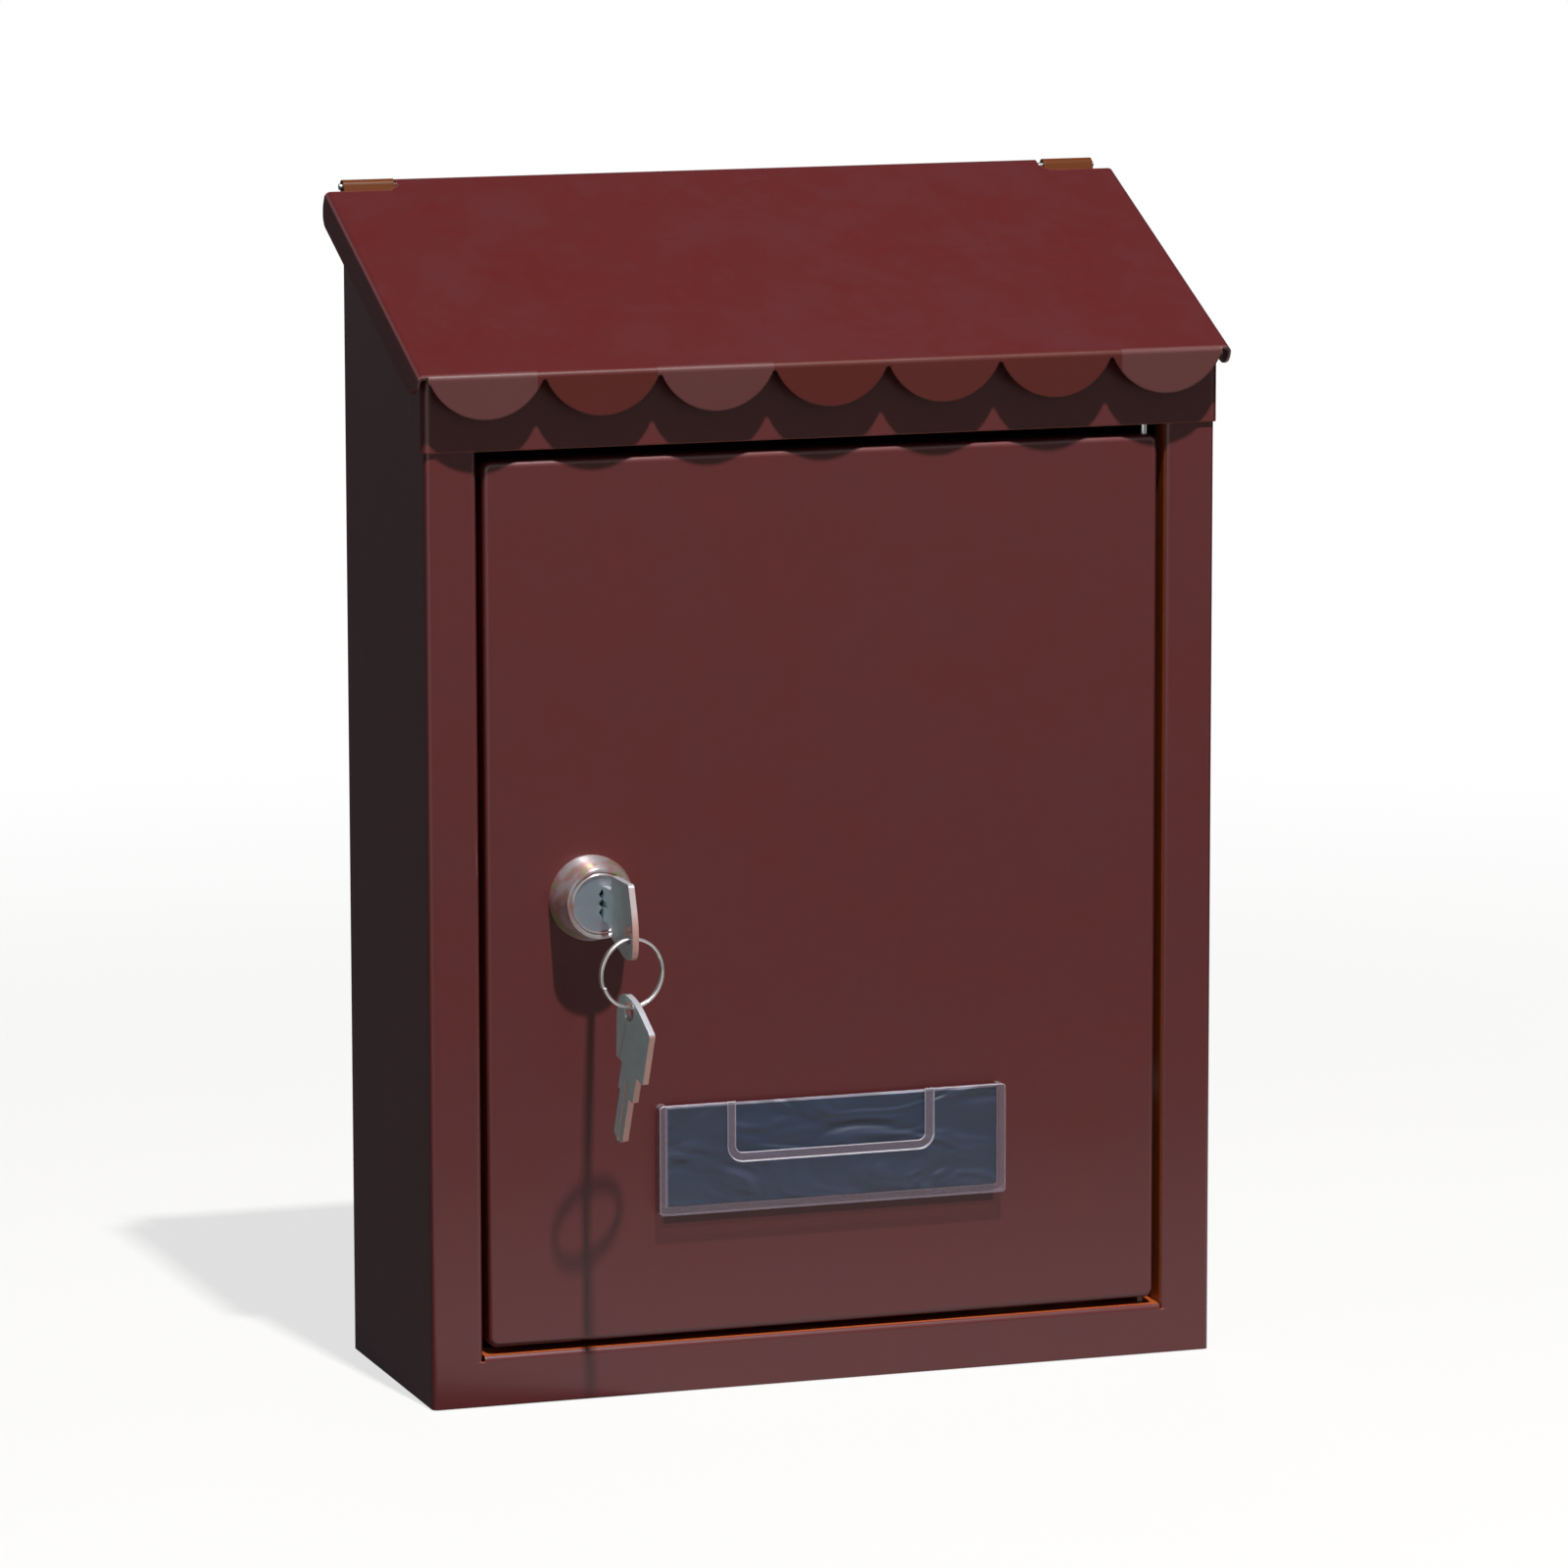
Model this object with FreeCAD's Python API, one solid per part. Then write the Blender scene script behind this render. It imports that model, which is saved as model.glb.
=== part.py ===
import FreeCAD, Part
import math
import os

os.makedirs("parts", exist_ok=True)
Vector = FreeCAD.Vector

# Frame: X runs to the right across the front, Y runs to the rear with the wall face of the back
# panel at 0, and Z is up. Heights in this file count from the underside of the case, and every
# finished piece is lowered so that the origin is the centre of the four wall holes.

# Two places nearer than this are one
same_place = 1e-4

# Steel sheet
sheet = 0.7                     # case, door, header and lid
back_sheet = 0.9                 # back panel, whose tongues carry the lid
bend = 1.5                       # outer radius of the folds
fold_relief = 0.4                # slit between two folded edges that meet in a corner

# Case
case_width = 207.0
case_depth = 74.0
rear_flange = 12.0
rim_flange = 6.0                 # turned-in edge along the sloping top of each side
tray_flange = 12.0               # upturned edge of the bottom panel
tray_gap = 0.05

# Wall holes
wall_hole_inset = 28.5           # from each side of the case
wall_pitch_z = 170.0
wall_centre_height = 140.0
wall_hole_radius = 3.0

# Door opening in the front
frame_border = 13.2              # front frame beside the opening
opening_bottom = 12.9
opening_below_fold = 17.5        # top of the opening below the lid's front fold
jamb_depth = 9.0
jamb_lip = 4.5

# Header over the door
header_lap = 1.9                 # how far the header hangs over the opening
header_wrap = 11.0

# Lid
lid_slope = 24.6                 # degrees, falling to the front
lid_fold_height = 258.7
lid_fold_reach = 6.6             # the front fold stands this far before the case
lid_rear_reach = 3.1             # the lid's corners end this far behind the wall face
lid_rest_gap = 0.4
lid_side_gap = 1.0
lid_shift = -0.7                 # the lid hangs this far to one side within its play
lid_flange = 7.2
lid_flange_splay = 6.0           # degrees off square
lid_flange_round = 6.0
scallop_count = 7
valance_end = 2.3                # unfolded end of the front edge beside the scallops
scallop_depth = 11.0
cusp_half = 0.7
cusp_shoulder = 2.2
cusp_rise = 0.65

# Lid hinge
wire_radius = 0.8
hinge_fit = 0.05
roll_run = 5.0                   # lid sheet between its corner edge and the roll
lid_roll_wrap = 280.0
knuckle_inset = 2.6             # hinge barrel's outer end from the side of the case
knuckle_length = 13.4
knuckle_gap = 1.1                # play between the lid's roll and each barrel
knuckle_wrap = 285.0
tongue_drop = 20.0               # foot of the tongues below the hinge axis
tongue_bend = 3.0
back_clearance = 2.2             # back panel's top edge below the lid
wire_overhang = 0.7

# Door
door_gap_left = 1.7
door_gap_right = 2.0
door_gap_bottom = 1.7
door_gap_top = 4.6
door_inset = 0.2
door_return = 7.0
door_corner = 2.2
door_axis_edge = 2.6             # hinge pins from the door's right edge
door_axis_depth = 3.4            # hinge pins behind the door's face
pin_radius = 1.0
pin_fit = 0.05
pin_head_radius = 2.1
pin_head = 1.0
pin_reach = 3.0

# Lock
lock_edge = 26.8                 # lock axis from the door's left edge
lock_height = 127.1
bezel_base_radius = 10.7
bezel_front_radius = 8.8
bezel_projection = 9.5
bezel_flat = 1.2
bezel_groove_inner = 7.35
bezel_groove_outer = 8.1
bezel_groove = 0.5
barrel_radius = 8.0
barrel_half_flat = 6.8
barrel_behind = 9.2              # rear end of the barrel behind the case front
hole_clearance = 0.1
plug_radius = 6.0
plug_fit = 0.08
plug_head_radius = 6.95
plug_head = 2.0
plug_recess = 0.4
plug_end_gap = 0.15
tail_side = 7.0
tail_fit = 0.05
nut_across = 20.0
nut_height = 3.0
stop_plate = 1.0
stop_disc_radius = 6.0
stop_lobe_radius = 7.8
stop_lobe_half = 20.0            # degrees
stop_slack = 3.0                 # degrees
stop_inner_radius = 6.25
cam_rest = 90.0                  # degrees from +X, seen from the front: upright when unlocked
quarter_turn = 90.0
full_turn = 360.0
cam_sheet = 1.5
cam_reach = 31.0
cam_boss_radius = 8.5
cam_tip_radius = 5.5
washer_radius = 6.0
washer = 0.8
screw_head_radius = 4.2
screw_head = 2.4
screw_shank_radius = 2.0
screw_length = 4.0
screw_fit = 0.05
screw_slot = 1.0

# Keys
key_sheet = 1.6
key_offset = 1.2                 # the keyway lies beside the plug's axis
key_bow_length = 17.8
key_bow_plain_side = 8.0         # from the blade's middle line
key_bow_hole_side = 10.7
key_plain_setback = 4.1          # the bow's end slants, so its corners lie behind its crest
key_hole_setback = 1.3
key_crest = 3.0                  # crest of the end, towards the hole side
key_crest_round = 18.0
key_taper_start = 7.6
key_taper_width = 7.6           # hole side of the bow where it meets the collar
key_taper_round = 6.0
key_corner = 1.2
key_hole_corner = 3.5
key_collar_width = 8.6
key_collar_length = 7.0
key_blade_width = 6.4
key_blade_length = 13.4
key_shoulder_step = 1.1
key_tip = 1.6
key_groove_width = 1.3
key_groove = 0.45
key_hole_radius = 2.5
key_hole_end = 3.9
key_hole_offset = 4.3            # from the blade's middle line
key_seat_gap = 0.1
keyway_fit = 0.2
keyway_ward = 0.8
keyway_depth = 13.8

# Ring
ring_outer_radius = 8.9
ring_wire_width = 0.75           # one turn of the flat wire
ring_wire_height = 1.05
ring_yaw = 10.0                  # degrees about the vertical
ring_turn_gap = 0.1
ring_drop = 1.2                  # wire centre below the centre of the key's hole
spare_turn = 8.0                 # degrees about the vertical

# Name holder
holder_left = -45.1
holder_right = 46.6
holder_bottom = 45.8
holder_height = 27.9
holder_depth = 3.5
holder_wall = 1.8
holder_front = 1.1
holder_round = 1.0
notch_half = 27.3
notch_centre = -0.6
notch_floor = 12.6               # above the holder's lower edge
notch_border = 2.2
notch_round = 4.0
notch_step = 0.55
lug_offset = 29.7
lug_width = 5.0
lug_height = 1.6
lug_fit = 0.2
lug_tooth = 0.8
card_sheet = 0.4
card_gap = 0.3
card_height = 25.4

# Places worked out from the sizes above
front = -case_depth
half_width = case_width / 2.0
wall_pitch_x = case_width - 2.0 * wall_hole_inset
opening_half = half_width - frame_border
opening_top = lid_fold_height - opening_below_fold
header_bottom = opening_top - header_lap
shell_rear = -back_sheet
lid_fold_y = front - lid_fold_reach
slope = math.radians(lid_slope)
header_rim_drop = sheet + lid_rest_gap
case_rim_drop = header_rim_drop + sheet
lid_half = half_width + sheet + lid_side_gap + sheet
scallop_span = lid_half - valance_end
scallop_pitch = 2.0 * scallop_span / scallop_count
knuckle_outer = half_width - knuckle_inset
knuckle_inner = knuckle_outer - knuckle_length
lid_roll_half = knuckle_inner - knuckle_gap
lid_corner_length = (lid_rear_reach - lid_fold_y) / math.cos(slope)
roll_foot = lid_corner_length + roll_run
roll_radius = wire_radius + hinge_fit + sheet
axis_y = lid_fold_y + roll_foot * math.cos(slope) + roll_radius * math.sin(slope)
axis_z = lid_fold_height + roll_foot * math.sin(slope) - roll_radius * math.cos(slope)
tongue_root = axis_z - tongue_drop

door_face = front + door_inset
door_back = door_face + sheet
door_left = -opening_half + door_gap_left
door_right = opening_half - door_gap_right
door_bottom = opening_bottom + door_gap_bottom
door_top = opening_top - door_gap_top
door_axis_x = door_right - door_axis_edge
door_axis_y = door_face + door_axis_depth

lock_x = door_left + lock_edge
bezel_front = door_face - bezel_projection
barrel_end = front + barrel_behind
plug_face = bezel_front + plug_recess
rotor_rear = barrel_end + plug_end_gap
cam_front = rotor_rear + stop_plate
cam_rear = cam_front + cam_sheet

key_x = lock_x + key_offset
key_length = key_bow_length + key_collar_length + key_blade_length
key_end_y = plug_face - key_seat_gap - key_collar_length - key_bow_length
hole_y = key_end_y + key_hole_end
hole_z = lock_height - key_hole_offset
ring_middle_radius = ring_outer_radius - ring_wire_height / 2.0
ring_top_z = hole_z - ring_drop
ring_bottom_z = ring_top_z - 2.0 * ring_middle_radius

holder_back = door_face
holder_face = holder_back - holder_depth
holder_top = holder_bottom + holder_height
holder_middle = (holder_left + holder_right) / 2.0


def in_xy(u, v):
    return Vector(u, v, 0)


def in_yz(u, v):
    return Vector(0, u, v)


def in_xz(u, v):
    return Vector(u, 0, v)


def box(x0, x1, y0, y1, z0, z1):
    return Part.makeBox(x1 - x0, y1 - y0, z1 - z0, Vector(x0, y0, z0))


def rod(radius, x, z, y0, y1):
    """Round bar along Y."""
    return Part.makeCylinder(radius, y1 - y0, Vector(x, y0, z), Vector(0, 1, 0))


def face_of(edges):
    return Part.Face(Part.Wire(Part.__sortEdges__(edges)))


def polygon(place, points):
    corners = [place(u, v) for u, v in points]
    return Part.Face(Part.makePolygon(corners + corners[:1]))


def folded(place, start, heading, steps, thickness):
    """Section of a folded strip, along its middle line.

    A step is (length,) for a flat run or (radius, turn) for a fold, with turns in degrees and
    positive to the left.
    """
    half = thickness / 2.0
    point = Vector(start[0], start[1], 0)
    angle = heading
    left = []
    right = []
    for step in steps:
        ahead = Vector(math.cos(math.radians(angle)), math.sin(math.radians(angle)), 0)
        side = Vector(-ahead.y, ahead.x, 0)
        if len(step) == 1:
            end = point + ahead * step[0]
            left.append([point + side * half, end + side * half])
            right.append([point - side * half, end - side * half])
            point = end
        else:
            radius, turn = step
            sense = math.copysign(1.0, turn)
            centre = point + side * (radius * sense)
            spokes = []
            for share in (0.0, 0.5, 1.0):
                spin = FreeCAD.Rotation(Vector(0, 0, 1), turn * share)
                spokes.append(spin.multVec(side * -sense))
            left.append([centre + spoke * (radius - sense * half) for spoke in spokes])
            right.append([centre + spoke * (radius + sense * half) for spoke in spokes])
            point = centre + spokes[2] * radius
            angle += turn
    edges = []
    for run in left + right:
        spots = [place(spot.x, spot.y) for spot in run]
        if len(spots) == 2:
            edges.append(Part.makeLine(spots[0], spots[1]))
        else:
            edges.append(Part.Arc(spots[0], spots[1], spots[2]).toShape())
    for spots in ((left[0][0], right[0][0]), (left[-1][-1], right[-1][-1])):
        edges.append(Part.makeLine(place(spots[0].x, spots[0].y), place(spots[1].x, spots[1].y)))
    return face_of(edges)


def spread(face, axis, low, high):
    """Solid between two stations along one axis from a section drawn at station 0."""
    moved = face.translated(axis * low)
    return moved.extrude(axis * (high - low))


ACROSS = Vector(1, 0, 0)
REARWARD = Vector(0, 1, 0)
UP = Vector(0, 0, 1)


def one_solid(shape):
    """The joined shape with its coplanar faces merged."""
    return shape.removeSplitter()


def slope_height(y, drop):
    """Height of the plane that lies this far below the lid's top face."""
    return lid_fold_height + (y - lid_fold_y) * math.tan(slope) - drop / math.cos(slope)


def under_slope(drop, y0, y1, z0):
    corners = [(y0, z0), (y1, z0), (y1, slope_height(y1, drop)), (y0, slope_height(y0, drop))]
    wide = case_width
    return spread(polygon(in_yz, corners), ACROSS, -wide, wide)


def rounded_plan(half, y0, y1, front_radius, rear_radius):
    """Rectangle in plan with rounded front corners and rounded or sharp rear corners."""
    spots = [(-half, y1), (-half, y0), (half, y0), (half, y1)]
    radii = [rear_radius, front_radius, front_radius, rear_radius]
    return rounded_polygon(in_xy, spots, radii)


def rounded_polygon(place, spots, radii):
    """Closed outline whose corners have tangent arcs of the given radii."""
    edges = []
    ends = []
    count = len(spots)
    for index in range(count):
        here = Vector(spots[index][0], spots[index][1], 0)
        before = Vector(spots[index - 1][0], spots[index - 1][1], 0)
        after = Vector(spots[(index + 1) % count][0], spots[(index + 1) % count][1], 0)
        back = (before - here).normalize()
        ahead = (after - here).normalize()
        radius = radii[index]
        if radius == 0:
            ends.append((here, here))
            continue
        half_angle = back.getAngle(ahead) / 2.0
        reach = radius / math.tan(half_angle)
        middle = (back + ahead).normalize()
        crown = here + middle * (radius / math.sin(half_angle) - radius)
        arc_ends = (here + back * reach, here + ahead * reach)
        spots_3d = [place(spot.x, spot.y) for spot in (arc_ends[0], crown, arc_ends[1])]
        edges.append(Part.Arc(spots_3d[0], spots_3d[1], spots_3d[2]).toShape())
        ends.append(arc_ends)
    for index in range(count):
        leave = ends[index][1]
        arrive = ends[(index + 1) % count][0]
        if leave.distanceToPoint(arrive) > same_place:
            edges.append(Part.makeLine(place(leave.x, leave.y), place(arrive.x, arrive.y)))
    return face_of(edges)


def sides_mirrored(shape):
    return [shape, shape.mirror(Vector(0, 0, 0), ACROSS)]


def body_shell():
    """Front frame, both sides and the rear flanges, folded from one sheet."""
    tall = slope_height(0, 0)
    outer = spread(rounded_plan(half_width, front, shell_rear, bend, bend), UP, 0, tall)
    inner = spread(
        rounded_plan(half_width - sheet, front + sheet, shell_rear - sheet, bend - sheet, bend - sheet),
        UP, -1, tall + 1)
    shell = outer.cut(inner).common(under_slope(case_rim_drop, front - 1, 1, -1))
    rear_window = half_width - rear_flange
    shell = shell.cut(box(-rear_window, rear_window, shell_rear - sheet - 1, 1, -1, tall + 1))
    cut_half = opening_half + bend
    shell = shell.cut(box(-cut_half, cut_half, front - 1, front + 2 * sheet,
                          opening_bottom - bend, opening_top + bend))
    middle = bend - sheet / 2.0
    flat = jamb_depth - bend - bend
    jamb = folded(in_xy, (-cut_half, front + sheet / 2.0), 0,
                  [(middle, 90.0), (flat,), (middle, 90.0), (jamb_lip - bend,)], sheet)
    additions = sides_mirrored(spread(jamb, UP, opening_bottom - bend, opening_top + bend))
    sill = folded(in_yz, (front + sheet / 2.0, opening_bottom - bend), 90.0,
                  [(middle, -90.0), (jamb_depth - bend,)], sheet)
    head = folded(in_yz, (front + sheet / 2.0, opening_top + bend), -90.0,
                  [(middle, 90.0), (jamb_depth - bend,)], sheet)
    fold_end = opening_half - fold_relief
    additions.append(spread(sill, ACROSS, -fold_end, fold_end))
    additions.append(spread(head, ACROSS, -fold_end, fold_end))
    for start in (-opening_half, fold_end):
        additions.append(box(start, start + fold_relief, front, front + sheet,
                             opening_top + bend - sheet, opening_top + bend))
    rim_front = front + sheet
    rim_rear = shell_rear - sheet
    rim = polygon(in_yz, [
        (rim_front, slope_height(rim_front, case_rim_drop)),
        (rim_rear, slope_height(rim_rear, case_rim_drop)),
        (rim_rear, slope_height(rim_rear, case_rim_drop + sheet)),
        (rim_front, slope_height(rim_front, case_rim_drop + sheet)),
    ])
    additions += sides_mirrored(spread(rim, ACROSS, half_width - rim_flange, half_width - sheet / 2.0))
    shell = shell.fuse(additions)
    return one_solid(shell)


def pin_hole(z0, z1):
    radius = pin_radius + pin_fit
    return Part.makeCylinder(radius, z1 - z0, Vector(door_axis_x, door_axis_y, z0), UP)


def shell_with_holes():
    shell = body_shell()
    shell = shell.cut(pin_hole(opening_bottom - 2 * sheet, opening_bottom + sheet))
    return shell.cut(pin_hole(opening_top - sheet, opening_top + 2 * sheet))


def tongue_section():
    """Section of a back panel tongue: it leans back and rolls round the hinge wire."""
    middle = wire_radius + hinge_fit + back_sheet / 2.0
    foot = Vector(-back_sheet / 2.0 + tongue_bend, tongue_root, 0)
    to_axis = Vector(axis_y, axis_z, 0) - foot
    bearing = math.degrees(math.atan2(to_axis.y, to_axis.x))
    offset = math.degrees(math.asin((tongue_bend - middle) / to_axis.Length))
    heading = bearing - offset
    run = to_axis.Length * math.cos(math.radians(offset))
    steps = [(tongue_bend, heading - 90.0), (run,), (middle, -knuckle_wrap)]
    return folded(in_yz, (-back_sheet / 2.0, tongue_root), 90.0, steps, back_sheet)


def back_panel():
    """Flat rear sheet with the wall holes and two tongues rolled into hinge barrels."""
    edge = half_width - bend
    top = slope_height(0, back_clearance)
    panel = box(-edge, edge, -back_sheet, 0, 0, top)
    shoulder = knuckle_inner - fold_relief
    for side in sides_mirrored(box(shoulder, half_width, -2, 2, tongue_root, top + 1)):
        panel = panel.cut(side)
    tongues = sides_mirrored(spread(tongue_section(), ACROSS, knuckle_inner, knuckle_outer))
    panel = panel.fuse(tongues)
    for x in (-wall_pitch_x / 2.0, wall_pitch_x / 2.0):
        for z in (-wall_pitch_z / 2.0, wall_pitch_z / 2.0):
            panel = panel.cut(rod(wall_hole_radius, x, wall_centre_height + z, -2, 2))
    return one_solid(panel)


def bottom_panel():
    """Tray whose upturned edges are spot welded inside the sides and the back."""
    half = half_width - sheet - tray_gap
    rear = shell_rear - sheet - tray_gap
    start = front + sheet + tray_gap
    tray = spread(rounded_plan(half, start, rear, bend, bend), UP, 0, tray_flange)
    hollow = spread(rounded_plan(half - sheet, start - 1, rear - sheet, 0, bend - sheet),
                    UP, sheet, tray_flange + 1)
    open_front = box(-half_width, half_width, start - 1, start + bend, sheet, tray_flange + 1)
    return one_solid(tray.cut([hollow, open_front]))


def front_header():
    """Strip folded over the top of the front and round both sides."""
    rear = front + header_wrap
    outer = spread(rounded_plan(half_width + sheet, front - sheet, rear, bend + sheet, 0),
                   UP, header_bottom, slope_height(rear, 0))
    outer = outer.common(under_slope(header_rim_drop, front - 2, rear + 1, 0))
    inner = spread(rounded_plan(half_width, front, rear + 1, bend, 0),
                   UP, header_bottom - 1, slope_height(rear + 2, 0))
    inner = inner.common(under_slope(case_rim_drop, front - 2, rear + 2, 0))
    return outer.cut(inner)


def on_lid(shape):
    """From the lid's own frame, with its front fold as origin and its top face level."""
    placed = shape.copy()
    placed.rotate(Vector(0, 0, 0), ACROSS, lid_slope)
    placed.translate(Vector(lid_shift, lid_fold_y, lid_fold_height))
    return placed


def lid_channel():
    """Top face with both splayed side flanges, their ends rounded."""
    splay = math.radians(lid_flange_splay)
    turn = 90.0 - lid_flange_splay
    setback = bend * math.tan(math.radians(turn) / 2.0)
    middle = bend - sheet / 2.0
    flat = lid_flange - setback
    start = (-lid_half - lid_flange * math.sin(splay) + sheet / 2.0 * math.cos(splay),
             -lid_flange * math.cos(splay) - sheet / 2.0 * math.sin(splay))
    steps = [(flat,), (middle, -turn), (2.0 * (lid_half - setback),), (middle, -turn), (flat,)]
    channel = spread(folded(in_xz, start, 90.0 - lid_flange_splay, steps, sheet),
                     REARWARD, 0, lid_corner_length)
    spots = [(0, sheet), (0, -lid_flange), (lid_corner_length, -lid_flange), (lid_corner_length, sheet)]
    radii = [0, lid_flange_round, lid_flange_round, 0]
    outline = rounded_polygon(in_yz, spots, radii)
    return channel.common(spread(outline, ACROSS, -case_width, case_width))


def scallop_outline():
    """Outline of the front valance: scallops joined by small rounded cusps."""
    fold = lid_fold_height
    half_span = scallop_span
    shoulder = fold - cusp_shoulder
    crown = shoulder + cusp_rise
    top = fold + sheet
    reach = scallop_pitch / 2.0 - cusp_half
    edges = []
    spot = Vector(-half_span, 0, crown)
    edges.append(Part.makeLine(Vector(-half_span, 0, top), spot))
    for index in range(scallop_count):
        centre = -half_span + (index + 0.5) * scallop_pitch
        begin = Vector(centre - reach, 0, shoulder)
        end = Vector(centre + reach, 0, shoulder)
        if index == 0:
            edges.append(Part.makeLine(spot, begin))
        else:
            crest = Vector(centre - scallop_pitch / 2.0, 0, crown)
            edges.append(Part.Arc(spot, crest, begin).toShape())
        edges.append(Part.Arc(begin, Vector(centre, 0, fold - scallop_depth), end).toShape())
        spot = end
    corner = Vector(half_span, 0, crown)
    edges.append(Part.makeLine(spot, corner))
    edges.append(Part.makeLine(corner, Vector(half_span, 0, top)))
    edges.append(Part.makeLine(Vector(half_span, 0, top), Vector(-half_span, 0, top)))
    return face_of(edges)


def lid():
    """Sloping lid folded from one sheet, with a scalloped front and a rolled hinge at the rear."""
    half_span = scallop_span
    turn = 90.0 - lid_slope
    setback = bend * math.tan(math.radians(turn) / 2.0)
    middle = bend - sheet / 2.0
    channel = lid_channel().cut(box(-half_span, half_span, -1, setback, -lid_flange, sheet))
    valance = folded(in_yz, (setback, -sheet / 2.0), 180.0,
                     [(middle, turn), (scallop_depth + sheet - setback,)], sheet)
    valance = on_lid(spread(valance, ACROSS, -half_span, half_span))
    pattern = spread(scallop_outline(), REARWARD, lid_fold_y - bend, lid_fold_y + 2 * bend)
    valance = valance.common(pattern.translated(ACROSS * lid_shift))
    roll = folded(in_yz, (lid_corner_length, -sheet / 2.0), 0,
                  [(roll_run,), (roll_radius - sheet / 2.0, -lid_roll_wrap)], sheet)
    roll = spread(roll, ACROSS, -lid_roll_half, lid_roll_half)
    taper = roll_run / 2.0
    gusset = polygon(in_xy, [
        (lid_roll_half, lid_corner_length),
        (lid_roll_half + taper, lid_corner_length),
        (lid_roll_half, lid_corner_length + taper),
    ])
    gussets = sides_mirrored(spread(gusset, UP, -sheet, 0))
    sheet_metal = on_lid(channel.fuse([roll] + gussets))
    return one_solid(sheet_metal.fuse(valance))


def lid_hinge_wire():
    """Straight galvanised wire through both barrels and the lid's roll."""
    end = knuckle_outer + wire_overhang
    return Part.makeCylinder(wire_radius, 2 * end, Vector(-end, axis_y, axis_z), ACROSS)


def lock_hole(grow, y0, y1):
    """Round bar with two flats, the section of the lock's barrel."""
    bar = rod(barrel_radius + grow, lock_x, lock_height, y0, y1)
    flat = barrel_half_flat + grow
    return bar.common(box(lock_x - flat, lock_x + flat, y0, y1, 0, 2 * lock_height))


def lug_places():
    return [holder_middle - lug_offset, holder_middle + lug_offset]


def pan(margin, rear):
    """Block of the door's outline, drawn in by a margin, and the edges round its front."""
    left = door_left + margin
    right = door_right - margin
    low = door_bottom + margin
    high = door_top - margin
    start = door_face + margin
    spots = [(left, low), (right, low), (right, high), (left, high)]
    corner = door_corner - margin
    block = spread(rounded_polygon(in_xz, spots, [corner] * 4), REARWARD, start, rear)
    rim = [edge for edge in block.Edges if edge.BoundBox.YMax < start + same_place]
    return block, rim


def door():
    """Pressed pan with rounded corners and holes for lock, pins and holder lugs."""
    rear = door_face + door_return
    outside, outer_rim = pan(0, rear)
    inside, inner_rim = pan(sheet, rear + 1)
    plate = outside.makeFillet(bend, outer_rim).cut(inside.makeChamfer(bend - sheet, inner_rim))
    plate = plate.cut(lock_hole(hole_clearance, door_face - 1, door_back + 1))
    plate = plate.cut(pin_hole(door_bottom - sheet, door_bottom + 2 * sheet))
    plate = plate.cut(pin_hole(door_top - 2 * sheet, door_top + sheet))
    for x in lug_places():
        half = lug_width / 2.0 + lug_fit
        plate = plate.cut(box(x - half, x + half, door_face - 1, door_back + 1,
                              holder_bottom - lug_fit, holder_bottom + lug_height + lug_tooth + lug_fit))
    return one_solid(plate)


def door_pin(seat, inward):
    """Headed pin: the head lies on the case's folded edge and the shank enters the door."""
    reach = door_gap_top + pin_reach if inward < 0 else door_gap_bottom + pin_reach
    foot = Vector(door_axis_x, door_axis_y, seat)
    shank = Part.makeCylinder(pin_radius, reach + sheet, foot, UP * inward)
    head = Part.makeCylinder(pin_head_radius, pin_head, foot, UP * -inward)
    return shank.fuse(head)


def turned(points):
    """Solid turned about the lock's axis from (radius, y) corners."""
    corners = [Vector(lock_x + radius, y, lock_height) for radius, y in points]
    face = Part.Face(Part.makePolygon(corners + corners[:1]))
    return face.revolve(Vector(lock_x, 0, lock_height), REARWARD, full_turn)


def sector(inner, outer, start, end, y0, y1):
    """Part of a ring about the lock's axis between two angles, seen from the front."""
    low = math.radians(start)
    high = math.radians(end)
    middle = (low + high) / 2.0

    def spot(radius, angle):
        return Vector(lock_x + radius * math.cos(angle), 0, lock_height + radius * math.sin(angle))

    edges = [
        Part.Arc(spot(outer, low), spot(outer, middle), spot(outer, high)).toShape(),
        Part.makeLine(spot(outer, high), spot(inner, high)),
        Part.Arc(spot(inner, high), spot(inner, middle), spot(inner, low)).toShape(),
        Part.makeLine(spot(inner, low), spot(outer, low)),
    ]
    return spread(face_of(edges), REARWARD, y0, y1)


def lock_body():
    """Coned bezel and flattened barrel in one casting, with the stop for the quarter turn."""
    bore = plug_radius + plug_fit
    pocket = plug_head_radius + plug_fit
    pocket_floor = plug_face + plug_head + plug_fit
    cone = turned([
        (bore, door_face),
        (bezel_base_radius, door_face),
        (bezel_base_radius, door_face - bezel_flat),
        (bezel_front_radius, bezel_front),
        (bezel_groove_outer, bezel_front),
        ((bezel_groove_outer + bezel_groove_inner) / 2.0, bezel_front + bezel_groove),
        (bezel_groove_inner, bezel_front),
        (pocket, bezel_front),
        (pocket, pocket_floor),
        (bore, pocket_floor),
    ])
    barrel = lock_hole(0, door_face, barrel_end)
    half_free = quarter_turn / 2.0 + stop_lobe_half + stop_slack
    start = cam_rest + half_free
    stop = sector(stop_inner_radius, barrel_radius, start, start + full_turn - 2.0 * half_free,
                  barrel_end, cam_front - plug_end_gap)
    stop = stop.common(lock_hole(0, barrel_end, cam_front))
    body = cone.fuse([barrel, stop])
    body = body.cut(rod(bore, lock_x, lock_height, pocket_floor, barrel_end + 2 * stop_plate))
    return one_solid(body)


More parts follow.
